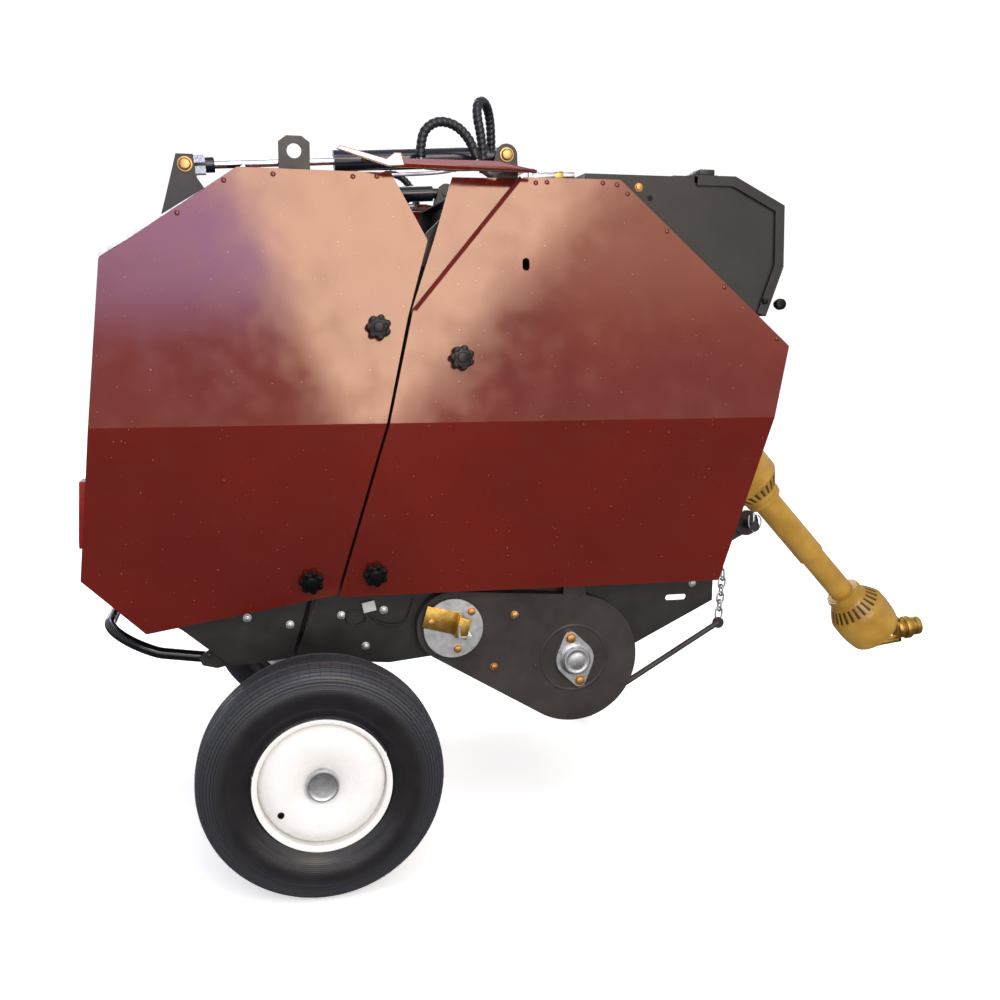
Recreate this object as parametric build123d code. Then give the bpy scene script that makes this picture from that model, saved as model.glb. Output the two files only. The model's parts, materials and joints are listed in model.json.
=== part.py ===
"""Small round baler for a three-point hitch, on two ground wheels.

Millimetres. +X points forwards to the tractor, +Y to the machine's left, +Z up.
Every place below is measured from the wheel axle's line (x = 0), the machine's centre
plane (y = 0) and the ground (z = 0). The pieces are written with their origin on the
ground under the middle of the machine's length, ORIGIN_X ahead of the axle.
"""
import math
import os

from build123d import *

os.makedirs("parts", exist_ok=True)

# ---------------------------------------------------------------- driving dimensions
ORIGIN_X = 633.0

# frame
PLATE_OUTER_Y = 366.0
PLATE_T = 6.0
TUBE = 50.0
TUBE_WALL = 4.0
SHEET_T = 3.0

# ground wheels, size 5.00-10
WHEEL_Y = 575.0
TYRE_R = 250.0
TYRE_HALF_SECTION = (
    (134.0, 45.0), (141.0, 51.0), (152.0, 58.0), (170.0, 63.5), (195.0, 67.0), (215.0, 66.0), (234.0, 60.0),
    (244.0, 50.0), (248.0, 36.0), (249.5, 20.0),
)
RIM_R = 133.0
RIM_HALF = 51.0
RIM_FLANGE = 7.0
DISC_OUT = 19.0
STUB_R = 17.5
HUB_R = 30.0
PIN_GAP = 0.1

# tailgate hinge, and the rams that swing it
HINGE = (250.0, 1300.0)
HINGE_PIN_R = 15.0
RAM_Y = 372.0
RAM_FRONT = (421.0, 1508.0)
RAM_REAR = (-229.0, 1468.0)
RAM_PIN_R = 12.0
RAM_EYE_R = 20.0
RAM_EYE_HALF = 15.0
RAM_LUG_GAP = 1.5
RAM_LUG_T = 6.0
LIFT_HOLE_R = 14.5
BARREL_R = 21.0
BARREL_LENGTH = 358.0
ROD_R = 8.0
ROD_START = 300.0
ROD_BLOCK = 39.0
ROD_COLLAR = 53.0

HOOP_R = 12.0

# bale chamber
CHAMBER = (112.0, 925.0)
ROLLER_PITCH_R = 400.0
ROLLER_R = 68.0
ROLLER_HALF = 338.0
ROLLER_WALL = 4.0
ROLLER_SHAFT_R = 17.5
FRONT_ROLLER_ANGLES = (50.0, 18.0, -14.0, -46.0, -95.0)
REAR_ROLLER_ANGLES = (96.0, 128.0, 160.0, 192.0, 226.0)
BEARING_R = 46.0
BEARING_T = 14.0

# side covers: a sheet folded outwards along a level crease
COVER_TOP = (1463.0, 430.0)
COVER_CREASE = (960.0, 500.0)
COVER_BOTTOM = (500.0, 423.0)
COVER_T = 2.5
COVER_LIP = 12.0
COVER_STEP = 24.0

# pick-up
PICKUP_PIVOT = (304.0, 495.0)
REEL = (585.0, 406.0)
CASE_SMALL_R = 80.0
CASE_BIG_R = 148.5
CASE_Y = (372.0, 398.0)
REEL_BAR_R = 85.0
TINE_TIP_R = 143.0
BAND_R = 112.0
BAND_PITCH = 66.0
BAND_W = 50.0
BAND_COUNT = 9

ARM_END = (941.0, 466.0)
CHAIN_PIN = (941.0, 601.0)
CHAIN_Y = 385.0

# hitch, category 1
LINK_PIN = (1020.0, 695.0)
LINK_PIN_R = 11.0
LINK_PIN_Y = (341.5, 395.0)
TOP_LINK = (1052.0, 1155.0)
TOP_LINK_HOLE_R = 9.75
TOP_LINK_GAP = 52.0
BEAM = (885.0, 941.0, 600.0, 650.0)
CHEEK_Y = (333.5, 341.5)
POST_FOOT = (920.0, 250.0, 650.0)
POST_HEAD = (1000.0, 70.0, 1058.0)
POST_SIZE = 40.0

# drive shaft
JOINT_REAR = (1120.0, 812.0)
JOINT_FRONT = (1598.6, 290.9)
YOKE_TIP = (1730.0, 306.0)
BELL_R = 81.0
GUARD_OUTER_R = 37.0
GUARD_INNER_R = 33.0
GUARD_T = 3.0
SPLINE_BORE_R = 17.5

# parking leg
LEG = (803.0, 305.0)
LEG_SIZE = 40.0


# ---------------------------------------------------------------- small helpers
def box(x0, x1, y0, y1, z0, z1):
    """A block between two corners."""
    middle = Pos((x0 + x1) / 2, (y0 + y1) / 2, (z0 + z1) / 2)
    return middle * Box(x1 - x0, y1 - y0, z1 - z0)


def upright(face, y0, y1):
    """A face drawn as (x, z), made a slab between y0 and y1."""
    return Pos(0, y1, 0) * Rot(90, 0, 0) * extrude(face, amount=y1 - y0)


def slab(points, y0, y1):
    """A slab between y0 and y1 with a straight-sided outline of (x, z) corners."""
    return upright(make_face(Polyline(*points, close=True)), y0, y1)


def rod_y(place, radius, y0, y1):
    """A round bar across the machine at place (x, z)."""
    return Pos(place[0], (y0 + y1) / 2, place[1]) * Rot(90, 0, 0) * Cylinder(radius, y1 - y0)


def bar(start, end, radius):
    """A round bar between two points in space."""
    line = Vector(*end) - Vector(*start)
    plane = Plane(origin=start, z_dir=line)
    return plane * Cylinder(radius, line.length, align=(Align.CENTER, Align.CENTER, Align.MIN))


def strip(points, thickness, y0, y1):
    """A bent sheet whose upper or outer side follows the (x, z) points."""
    back = [Vector(*p) for p in points]
    inner = offset_points(back, thickness)
    outline = list(points) + inner[::-1]
    return slab(outline, y0, y1)


def offset_points(points, distance):
    """The (x, z) points moved to the right of their direction of travel, mitred."""
    moved = []
    for index, point in enumerate(points):
        before = points[max(index - 1, 0)]
        after = points[min(index + 1, len(points) - 1)]
        runs = []
        if index > 0:
            runs.append((point - before).normalized())
        if index < len(points) - 1:
            runs.append((after - point).normalized())
        sides = [Vector(run.Y, -run.X) for run in runs]
        mean = sides[0] if len(sides) == 1 else (sides[0] + sides[1]).normalized()
        reach = distance / mean.dot(sides[0])
        moved.append((point.X + mean.X * reach, point.Y + mean.Y * reach))
    return moved


def left_of(part):
    """The same piece on the machine's left."""
    return mirror(part, about=Plane.XZ)


def pair(part):
    """A right-hand piece and its mirror image."""
    return Compound([*part.solids(), *left_of(part).solids()])


def square_tube_y(place, size, half, wall=TUBE_WALL):
    """A square tube across the machine, centred at (x, z)."""
    x, z = place
    outer = box(x - size / 2, x + size / 2, -half, half, z - size / 2, z + size / 2)
    inside = size / 2 - wall
    return outer - box(x - inside, x + inside, -half, half, z - inside, z + inside)


def save(part, name):
    """Write one named piece, moved to the machine's own origin."""
    placed = Pos(-ORIGIN_X, 0, 0) * part
    placed.label = name
    export_step(placed, f"parts/{name}.step")


def roller_places(angles):
    """Axis positions (x, z) on the chamber's pitch circle."""
    places = []
    for angle in angles:
        turn = math.radians(angle)
        x = CHAMBER[0] + ROLLER_PITCH_R * math.cos(turn)
        z = CHAMBER[1] + ROLLER_PITCH_R * math.sin(turn)
        places.append((x, z))
    return places


FRONT_ROLLERS = roller_places(FRONT_ROLLER_ANGLES)
REAR_ROLLERS = roller_places(REAR_ROLLER_ANGLES)
PLATE_INNER_Y = PLATE_OUTER_Y - PLATE_T


# ---------------------------------------------------------------- chassis
def side_plates():
    """The two main plates of the front half, with the arch that the pick-up swings in."""
    outline = [
        (222, 1290), (225, 1325), (245, 1338), (350, 1440), (350, 1450), (590, 1450),
        (590, 1322), (700, 1318), (925, 1148), (1000, 1105), (968, 960), (911, 622),
        (950, 616), (950, 588), (932, 580), (932, 516), (747, 424), (690, 396), (648, 420), (648, 530),
        (395, 530), (395, 432), (265, 422), (166, 412), (-36, 430), (3, 573), (130, 960),
    ]
    plate = slab(outline, -PLATE_OUTER_Y, -PLATE_INNER_Y)
    plate -= rod_y(HINGE, HINGE_PIN_R + PIN_GAP, -PLATE_OUTER_Y, -PLATE_INNER_Y)
    for place in FRONT_ROLLERS[:-1]:
        plate -= rod_y(place, ROLLER_SHAFT_R + 3, -PLATE_OUTER_Y, -PLATE_INNER_Y)
    slot = upright(Pos(841, 527) * SlotOverall(52, 14), -PLATE_OUTER_Y, -PLATE_INNER_Y)
    chain_pin = rod_y(CHAIN_PIN, 5, -392, -PLATE_OUTER_Y)
    return pair(plate - slot + chain_pin)


def cross_members():
    """Square tubes between the main plates, and the parking leg's sleeve."""
    tubes = [
        square_tube_y((160, 434), 40, PLATE_INNER_Y),
        square_tube_y((405, 1424), TUBE, PLATE_INNER_Y),
        square_tube_y((645, 662), 40, PLATE_INNER_Y),
        square_tube_y((950, 1082), TUBE, PLATE_INNER_Y),
    ]
    x, y = LEG
    outer = LEG_SIZE / 2 + 5
    inner = LEG_SIZE / 2 + 0.5
    sleeve = box(x - outer, x + outer, y - outer, y + outer, 520, 690)
    sleeve -= box(x - inner, x + inner, y - inner, y + inner, 520, 690)
    sleeve += box(x - 20, x + 20, y + outer, PLATE_INNER_Y, 540, 580)
    return Compound([solid for part in [*tubes, sleeve] for solid in part.solids()])


def body_sheets():
    """The wall ahead of the rollers and the sheet over the top, as two plates."""
    wall = box(668, 671, -PLATE_INNER_Y, PLATE_INNER_Y, 645, 1316)
    top = box(352, 588, -PLATE_INNER_Y, PLATE_INNER_Y, 1450, 1453)
    front = box(585, 588, -PLATE_INNER_Y, PLATE_INNER_Y, 1325, 1449)
    return Compound([wall.solid(), top.solid(), front.solid()])


def axle():
    """The axle tube under the chamber, its two legs and the stub axles."""
    tube = box(-30, 30, -500, 500, 220, 280) - box(-25, 25, -500, 500, 225, 275)
    leg_outline = [(-34, 437), (130, 430), (62, 215), (-62, 215)]
    parts = [tube]
    for side in (-1, 1):
        inner = side * (PLATE_INNER_Y - 12)
        outer = side * PLATE_INNER_Y
        parts.append(slab(leg_outline, min(inner, outer), max(inner, outer)))
        stub_start = side * 480
        stub_end = side * (WHEEL_Y + DISC_OUT + 30)
        parts.append(rod_y((0, TYRE_R), 26, min(stub_start, side * 505), max(stub_start, side * 505)))
        parts.append(rod_y((0, TYRE_R), STUB_R, min(stub_start, stub_end), max(stub_start, stub_end)))
    return Part() + parts


def hitch_beam():
    """The lower beam between the main plates, with a strap, a disc and a link pin each side."""
    x0, x1, z0, z1 = BEAM
    tube = box(x0, x1, -PLATE_INNER_Y, PLATE_INNER_Y, z0, z1)
    tube -= box(x0 + TUBE_WALL, x1 - TUBE_WALL, -PLATE_INNER_Y, PLATE_INNER_Y, z0 + TUBE_WALL, z1 - TUBE_WALL)
    strap_face = make_hull((Pos(*LINK_PIN) * Circle(24)).edges() + (Pos(921, 640) * Circle(20)).edges())
    inner_y, outer_y = CHEEK_Y
    strap = upright(strap_face, -outer_y, -inner_y)
    pin = rod_y(LINK_PIN, LINK_PIN_R, -LINK_PIN_Y[1], -inner_y)
    disc = rod_y(LINK_PIN, 30, -outer_y - 8, -outer_y)
    end = strap + pin + disc
    return tube + end + left_of(end)


def hitch_posts():
    """The two leaning posts of the A-frame."""
    x0, y0, z0 = POST_FOOT
    x1, y1, z1 = POST_HEAD
    foot = Pos(x0, -y0, z0) * Rectangle(POST_SIZE, POST_SIZE)
    head = Pos(x1, -y1, z1) * Rectangle(POST_SIZE, POST_SIZE)
    return pair(loft([foot, head]))


def top_link_bracket():
    """The head plate on the posts, with the two ears that hold the top link's pin."""
    plate = box(978, 1022, -95, 95, POST_HEAD[2], POST_HEAD[2] + 10)
    outline = [(975, 1058), (1030, 1058), (1078, 1140), (1078, 1172), (1062, 1182), (1036, 1170), (975, 1106)]
    ear = slab(outline, -TOP_LINK_GAP / 2 - 10, -TOP_LINK_GAP / 2)
    bracket = plate + ear + left_of(ear)
    return bracket - rod_y(TOP_LINK, TOP_LINK_HOLE_R, -60, 60)


def gearbox():
    """The bevel gearbox on its pedestal, its input stub and the cross shaft's tube."""
    x, z = JOINT_REAR
    case = box(875, 1028, -88, 88, z - 84, z + 80)
    case = chamfer(case.edges().filter_by(Axis.Y), 14)
    pedestal = box(885, 941, -60, 60, BEAM[3], z - 84)
    nose = Pos(1034, 0, z) * Rot(0, 90, 0) * Cylinder(46, 14)
    stub = Pos(x - 70, 0, z) * Rot(0, 90, 0) * Cylinder(SPLINE_BORE_R, 30)
    shaft_tube = rod_y((900, z), 24, 88, 330)
    return case + pedestal + nose + stub + shaft_tube


def net_box():
    """The net box's shell: side walls, floor and back, with the rear part of its top."""
    outline = [(596, 1478), (846, 1478), (846, 1466), (930, 1466), (1046, 1409), (1049, 1292),
               (1012, 1180), (930, 1162), (704, 1332), (596, 1332)]
    outer = slab(outline, -383, 383)
    inner_outline = [(599, 1475), (843, 1475), (843, 1480), (1060, 1480), (1060, 1190),
                     (1013, 1187), (931, 1166), (705, 1335), (599, 1335)]
    return outer - slab(inner_outline, -380, 380)


def net_box_lid():
    """The lid: from its hinge line over the sloping front, with a lip on each side."""
    skin_points = [(850, 1481), (939, 1481), (1059, 1422), (1063, 1288), (1025, 1178)]
    skin = strip(skin_points, SHEET_T, -391, 391)
    lips = []
    lip_inner = offset_points([Vector(*p) for p in skin_points], 22)
    for side in (-1, 1):
        y_range = sorted((side * 388.5, side * 391))
        lips.append(slab(skin_points + lip_inner[::-1], *y_range))
    return Part() + [skin, *lips]


def hinge_guards():
    """A skirt outside each hinge, carried from the front, with its pointer bar."""
    skirt = slab([(168, 1468), (186, 1484), (384, 1485), (410, 1476), (464, 1472), (462, 1466),
                  (180, 1466)], -468, -465)
    ear_y = RAM_Y + RAM_EYE_HALF + RAM_LUG_GAP + RAM_LUG_T
    shelf = box(402, 446, -466, -ear_y, 1466, 1469)
    pointer = slab([(62, 1497), (70, 1504), (160, 1481), (176, 1494), (190, 1494), (196, 1470),
                    (164, 1467)], -473, -468)
    return pair(skirt + shelf + pointer)


def front_ram_lugs():
    """Rounded ears on the frame's top for the rams' front eyes."""
    x, z = RAM_FRONT
    ear = make_hull((Pos(x, z) * Circle(23)).edges() + (Pos(x - 4, 1460) * Rectangle(58, 12)).edges())
    inner = RAM_EYE_HALF + RAM_LUG_GAP
    outer = inner + RAM_LUG_T
    lugs = upright(ear, -RAM_Y - outer, -RAM_Y - inner)
    lugs += upright(ear, -RAM_Y + inner, -RAM_Y + outer)
    lugs += rod_y(RAM_FRONT, RAM_PIN_R, -RAM_Y - outer - 5, -RAM_Y + outer + 5)
    lugs += box(x - 33, x + 25, -RAM_Y - outer, -RAM_Y + outer, 1453, 1460)
    return pair(lugs)


def hinge_pins():
    """The tailgate's two hinge pins, in the main plates."""
    pin = rod_y(HINGE, HINGE_PIN_R, -388, -PLATE_INNER_Y + 6)
    collar = rod_y(HINGE, 24, -394, -386)
    return pair(pin + collar)


def pivot_discs():
    """The zinc discs that close the pick-up's pivot on each side, on their spindles."""
    disc = rod_y(PICKUP_PIVOT, 66.5, -410, -404)
    spindle = rod_y(PICKUP_PIVOT, 25, -404, -PLATE_OUTER_Y)
    bracket = box(310, 340, -440, -410, 480, 484) + box(310, 314, -440, -410, 484, 512)
    return pair(disc + spindle + bracket)


def bearing(place, base_y, out):
    """A flanged bearing housing at (x, z), standing on the face at base_y, towards out."""
    shoulder_y = base_y + 8 * out
    end_y = base_y + BEARING_T * out
    flange = rod_y(place, BEARING_R, *sorted((base_y, shoulder_y)))
    barrel = rod_y(place, 32, *sorted((shoulder_y, end_y)))
    return flange + barrel - rod_y(place, ROLLER_SHAFT_R + PIN_GAP, *sorted((base_y, end_y)))


def bearings(places):
    """Bearing housings outside both plates, one for each roller end."""
    return [bearing(place, -PLATE_OUTER_Y, -1) for place in places]


def front_bearings():
    """The front rollers' housings; the bottom roller's stand inside the plates."""
    housings = bearings(FRONT_ROLLERS[:-1])
    housings.append(bearing(FRONT_ROLLERS[-1], -PLATE_INNER_Y, 1))
    return pair(Compound([housing.solid() for housing in housings]))


def rear_bearings():
    """The rear rollers' housings."""
    return pair(Compound([housing.solid() for housing in bearings(REAR_ROLLERS)]))


# ---------------------------------------------------------------- chamber rollers
def roller(place, shaft_half):
    """One chamber roller on its through shaft."""
    drum = rod_y(place, ROLLER_R, -ROLLER_HALF, ROLLER_HALF)
    drum -= rod_y(place, ROLLER_R - 9, -ROLLER_HALF + ROLLER_WALL, ROLLER_HALF - ROLLER_WALL)
    shaft = rod_y(place, ROLLER_SHAFT_R, -shaft_half, shaft_half)
    grooves = []
    for step in range(6):
        turn = math.radians(60 * step)
        x = place[0] + (ROLLER_R + 2) * math.cos(turn)
        z = place[1] + (ROLLER_R + 2) * math.sin(turn)
        grooves.append(rod_y((x, z), 7, -ROLLER_HALF, ROLLER_HALF))
    return drum - grooves + shaft


# ---------------------------------------------------------------- tailgate
def tailgate_frame():
    """The tailgate's plates with their hinge ears, and the tubes that join them."""
    outline = [
        (205, 1295), (165, 1440), (-122, 1446), (-375, 1270), (-406, 960), (-436, 655),
        (-330, 545), (-274, 511), (-175, 425), (-47, 436), (-6, 575), (121, 962),
    ]
    plate = slab(outline, -PLATE_OUTER_Y, -PLATE_INNER_Y)
    for place in REAR_ROLLERS:
        plate -= rod_y(place, ROLLER_SHAFT_R + 3, -PLATE_OUTER_Y, -PLATE_INNER_Y)
    ear_face = make_hull((Pos(*HINGE) * Circle(32)).edges() + (Pos(150, 1372) * Circle(30)).edges())
    ear = upright(ear_face, -379, -371)
    spacer = rod_y((155, 1368), 22, -371, -PLATE_OUTER_Y)
    ear -= rod_y(HINGE, HINGE_PIN_R + PIN_GAP, -379, -371)
    side = plate + ear + spacer
    parts = [side, left_of(side)]
    for place in ((35, 1420), (-300, 574)):
        parts.append(square_tube_y(place, 40, PLATE_INNER_Y))
    rail = slab([(-274, 511), (-175, 425), (-172, 429), (-271, 515)], -PLATE_INNER_Y, PLATE_INNER_Y)
    return Part() + [*parts, rail]


def tailgate_sheet():
    """The sheet over the tailgate's top, slope and back, cut away where the open rams pass."""
    top = strip([(-112, 1455), (168, 1455)], SHEET_T, -405, 405)
    slope = strip([(-452, 690), (-430, 960), (-398, 1286), (-116, 1466), (-112, 1455)], SHEET_T, -405, 405)
    relief = box(-148, -108, -400, -343, 1435, 1472)
    return top + slope - relief - left_of(relief)


def rear_ram_brackets():
    """The leaning ears on the slope for the rams' rod eyes."""
    x, z = RAM_REAR
    outline = [(x - 17, z + 20), (x + 16, z + 20), (x + 21, z - 23), (-178, 1400), (-290, 1330),
               (x - 41, z - 69)]
    inner = RAM_EYE_HALF + RAM_LUG_GAP
    outer = inner + RAM_LUG_T
    near = slab(outline, -RAM_Y - outer, -RAM_Y - inner)
    far = slab(outline, -RAM_Y + inner, -RAM_Y + outer)
    head = rod_y(RAM_REAR, RAM_PIN_R, -RAM_Y - outer - 5, -RAM_Y - outer)
    tail = rod_y(RAM_REAR, RAM_PIN_R, -RAM_Y + outer, -RAM_Y + outer + 5)
    slope_cut = slab([(-116, 1467), (-400, 1286), (-400, 1200), (-100, 1200)], -410, -300)
    return pair((near + head - slope_cut) + (far + tail - slope_cut))


def lifting_lugs():
    """Two lifting ears on the tailgate's top."""
    outline = [(-48, 1455), (-48, 1516), (-32, 1528), (-2, 1528), (14, 1516), (14, 1455)]
    lug = slab(outline, -410, -404) - rod_y((-17, 1499), LIFT_HOLE_R, -410, -404)
    foot = box(-48, 14, -410, -396, 1455, 1459)
    return pair(lug + foot)


def tail_lamps():
    """The two red rear lamps."""
    lamp = slab([(-467, 704), (-467, 722), (-460, 842), (-440, 842), (-451.3, 704)], -400, -352)
    return pair(lamp)


def ramp_hoop():
    """The bent tube under the tailgate that the bale rolls off."""
    near = [(-211, -340, 439), (-327, -340, 457), (-435, -338, 504)]
    far = [(x, -y, z) for x, y, z in near[::-1]]
    bends = FilletPolyline(*near, *far, radius=99)
    section = Plane(origin=bends @ 0, z_dir=bends % 0) * Circle(HOOP_R)
    return sweep(section, path=bends)


# ---------------------------------------------------------------- covers
def cover_layer(near, far):
    """The space between two copies of the folded skin, near and far mm inside it."""
    folds = [(-y, z) for z, y in (COVER_TOP, COVER_CREASE, COVER_BOTTOM)]
    outer = [(y + near, z) for y, z in folds]
    inner = [(y + far, z) for y, z in folds]
    outline = Polyline(*[(-500, y, z) for y, z in outer + inner[::-1]], close=True)
    return extrude(make_face(outline), amount=1600, dir=(1, 0, 0))


def through_cover(face):
    """A face drawn as (x, z), cut through the covers' whole depth."""
    return upright(face, -520, -380)


def tray(points):
    """A folded sheet with a lip all round, its outline given by (x, z) corners."""
    outline = make_face(Polyline(*points, close=True))
    inside = offset(outline, amount=-COVER_T, kind=Kind.INTERSECTION)
    lip_edge = COVER_T + COVER_LIP
    return (through_cover(outline) & cover_layer(0, lip_edge)) - (
        through_cover(inside) & cover_layer(COVER_T, lip_edge))


REAR_COVER = [(-393, 1281), (-130, 1462), (174, 1460), (245, 1327), (200, 1171), (152, 960), (48, 591),
              (-342, 524), (-461, 647), (-423, 960)]
FRONT_COVER = [(210, 1181), (448, 1460), (660, 1461), (1041, 1114), (1004, 960), (915, 582), (53, 586),
               (158, 960)]
FRONT_CORNER = [(210, 1181), (262, 1330), (303, 1458), (448, 1460)]


def rear_cover():
    """The cover over the tailgate's drive side."""
    return tray(REAR_COVER)


def front_cover():
    """The front cover, with its rear top corner stepped in under the swinging tailgate."""
    slot = through_cover(Pos(450, 1282) * Rot(0, 0, 90) * SlotOverall(26, 15))
    corner_layer = cover_layer(COVER_STEP, COVER_STEP + COVER_T)
    corner = through_cover(make_face(Polyline(*FRONT_CORNER, close=True))) & corner_layer
    low, high = FRONT_CORNER[0], FRONT_CORNER[-1]
    step = make_face(Polyline(low, high, (high[0] + 4, high[1]), (low[0] + 4, low[1]), close=True))
    step_wall = through_cover(step) & cover_layer(0, COVER_STEP + COVER_T)
    return (tray(FRONT_COVER) - slot) + corner + step_wall


# ---------------------------------------------------------------- rams and hoses
def ram_axis():
    """The unit vector from the front pin to the rear pin, and their distance."""
    dx = RAM_REAR[0] - RAM_FRONT[0]
    dz = RAM_REAR[1] - RAM_FRONT[1]
    length = math.hypot(dx, dz)
    return dx / length, dz / length, length


def along_ram(distance, y=-RAM_Y):
    """A point on the ram's axis, measured from its front pin."""
    ux, uz, length = ram_axis()
    return (RAM_FRONT[0] + ux * distance, y, RAM_FRONT[1] + uz * distance)


def ram_barrel():
    """The barrel with its front eye and the gland at its open end."""
    eye = rod_y(RAM_FRONT, RAM_EYE_R, -RAM_Y - RAM_EYE_HALF, -RAM_Y + RAM_EYE_HALF)
    barrel = bar(along_ram(36), along_ram(BARREL_LENGTH - 30), BARREL_R)
    neck = bar(along_ram(14), along_ram(37), 14)
    gland = bar(along_ram(BARREL_LENGTH - 30), along_ram(BARREL_LENGTH), BARREL_R + 2)
    body = eye + neck + barrel + gland
    body -= rod_y(RAM_FRONT, RAM_PIN_R + PIN_GAP, -RAM_Y - 20, -RAM_Y + 20)
    return body - bar(along_ram(60), along_ram(BARREL_LENGTH + 1), ROD_R + PIN_GAP)


def ram_rod():
    """The chromed rod with its black eye block at the tailgate."""
    length = ram_axis()[2]
    rod = bar(along_ram(ROD_START), along_ram(length - ROD_BLOCK), ROD_R)
    collar = bar(along_ram(length - ROD_COLLAR), along_ram(length - ROD_BLOCK), 11)
    eye = rod_y(RAM_REAR, RAM_EYE_R, -RAM_Y - RAM_EYE_HALF, -RAM_Y + RAM_EYE_HALF)
    ux, uz, _ = ram_axis()
    plane = Plane(origin=along_ram(length - ROD_BLOCK), x_dir=(0, 1, 0), z_dir=(ux, 0, uz))
    block = plane * Box(2 * RAM_EYE_HALF, 36, ROD_BLOCK, align=(Align.CENTER, Align.CENTER, Align.MIN))
    return rod + collar + eye + block


# ---------------------------------------------------------------- pick-up
def case_face(grow=0.0):
    """The pear shape of the pick-up's side case."""
    small = Pos(*PICKUP_PIVOT) * Circle(CASE_SMALL_R + grow)
    big = Pos(*REEL) * Circle(CASE_BIG_R + grow)
    return make_hull(small.edges() + big.edges())


def pickup_cases():
    """The chain case on each side, with the lifting arm's rod."""
    inner_y, outer_y = CASE_Y
    case = upright(case_face(), -outer_y, -inner_y)
    case -= upright(case_face(-3), -outer_y + 3, -inner_y - 3)
    case -= rod_y(PICKUP_PIVOT, 25 + 0.3, -outer_y - 1, -inner_y + 1)
    tab = slab([(556, 540), (560, 583), (608, 575), (612, 540)], -outer_y, -outer_y + 3)
    arm = bar((662, -CHAIN_Y, 302), (ARM_END[0], -CHAIN_Y, ARM_END[1]), 6.5)
    hook = rod_y(ARM_END, 13, -CHAIN_Y - 4, -CHAIN_Y + 4)
    return pair(case + tab + arm + hook)


def lift_chains():
    """The short chains that hold the pick-up's arms, as plain round bars."""
    top = CHAIN_PIN[1] - 5.5
    bottom = ARM_END[1] + 13.5
    return pair(bar((ARM_END[0], -CHAIN_Y, bottom), (ARM_END[0], -CHAIN_Y, top), 5))


def pickup_bearings():
    """The oval flanged bearings at the reel's ends."""
    flange_face = make_hull(
        (Pos(REEL[0] - 11.5, REEL[1] + 50.5) * Circle(15)).edges()
        + (Pos(REEL[0] + 11.5, REEL[1] - 50.5) * Circle(15)).edges()
        + (Pos(*REEL) * Circle(44)).edges())
    flange = upright(flange_face, -CASE_Y[1] - 10, -CASE_Y[1])
    cap = rod_y(REEL, 31, -CASE_Y[1] - 24, -CASE_Y[1] - 10)
    return pair(flange + cap)


def band_places():
    """The bands' middle planes across the pick-up."""
    return [BAND_PITCH * (index - (BAND_COUNT - 1) / 2) for index in range(BAND_COUNT)]


def pickup_bands():
    """The curved guard bands between the tines, and the beam that carries them."""
    beam = rod_y((424, 476), 18, -CASE_Y[0], CASE_Y[0])
    outer = Pos(*REEL) * Circle(BAND_R)
    inner = Pos(*REEL) * Circle(BAND_R - 2)
    wedge = make_face(Polyline(REEL, (REEL[0] - 110, REEL[1] + 190), (REEL[0] - 300, REEL[1] + 60),
                               (REEL[0] - 300, REEL[1] - 300), (REEL[0] + 60, REEL[1] - 300), close=True))
    ring = outer - inner - wedge
    start = (REEL[0] - 0.5 * BAND_R, REEL[1] + 0.866 * BAND_R)
    tail = slab([start, (420, 493), (420, 491), (start[0] - 1, start[1] - 2)], -BAND_W / 2, BAND_W / 2)
    band = upright(ring, -BAND_W / 2, BAND_W / 2) + tail
    return Part() + [beam] + [Pos(0, y, 0) * band for y in band_places()]


def pickup_reel():
    """The reel: shaft, end and middle discs, four tine bars and their tines."""
    shaft = rod_y(REEL, 20, -CASE_Y[0] + 0.5, CASE_Y[0] - 0.5)
    parts = [shaft]
    for y in (-335, 0, 335):
        parts.append(rod_y(REEL, 96, y - 2.5, y + 2.5))
    tine_planes = [y + BAND_PITCH / 2 for y in band_places()[:-1]]
    tine_planes = [tine_planes[0] - BAND_PITCH, *tine_planes, tine_planes[-1] + BAND_PITCH]
    for quarter in range(4):
        turn = math.radians(20 + 90 * quarter)
        ux, uz = math.cos(turn), math.sin(turn)
        parts.append(rod_y((REEL[0] + ux * REEL_BAR_R, REEL[1] + uz * REEL_BAR_R), 9, -335, 335))
        for y in tine_planes:
            start = (REEL[0] + ux * REEL_BAR_R, y, REEL[1] + uz * REEL_BAR_R)
            end = (REEL[0] + ux * TINE_TIP_R, y, REEL[1] + uz * TINE_TIP_R)
            parts.append(bar(start, end, 2.75))
    return Part() + parts


# ---------------------------------------------------------------- drive shaft
def shaft_plane():
    """The drive shaft's own axes: origin at the rear joint, z along the shaft."""
    direction = (JOINT_FRONT[0] - JOINT_REAR[0], 0, JOINT_FRONT[1] - JOINT_REAR[1])
    return Plane(origin=(JOINT_REAR[0], 0, JOINT_REAR[1]), x_dir=(0, 1, 0), z_dir=direction)


SHAFT_LENGTH = math.hypot(JOINT_FRONT[0] - JOINT_REAR[0], JOINT_FRONT[1] - JOINT_REAR[1])


def turned(stations, thickness):
    """A thin turned shell from (distance, radius) stations along local z.

    Two stations at the same distance make a step, whose wall is as thick as the rest.
    """
    inner = []
    for index, (distance, radius) in enumerate(stations):
        shift = 0
        for other in (index - 1, index + 1):
            if 0 <= other < len(stations) and stations[other][0] == distance:
                rise = (stations[other][1] - radius) * (other - index)
                shift = thickness if rise > 0 else -thickness
        inner.append((radius - thickness, distance + shift))
    outer = [(radius, distance) for distance, radius in stations]
    face = make_face(Polyline(*(outer + inner[::-1]), close=True))
    return revolve(Rot(90, 0, 0) * face, axis=Axis.Z)


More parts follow.
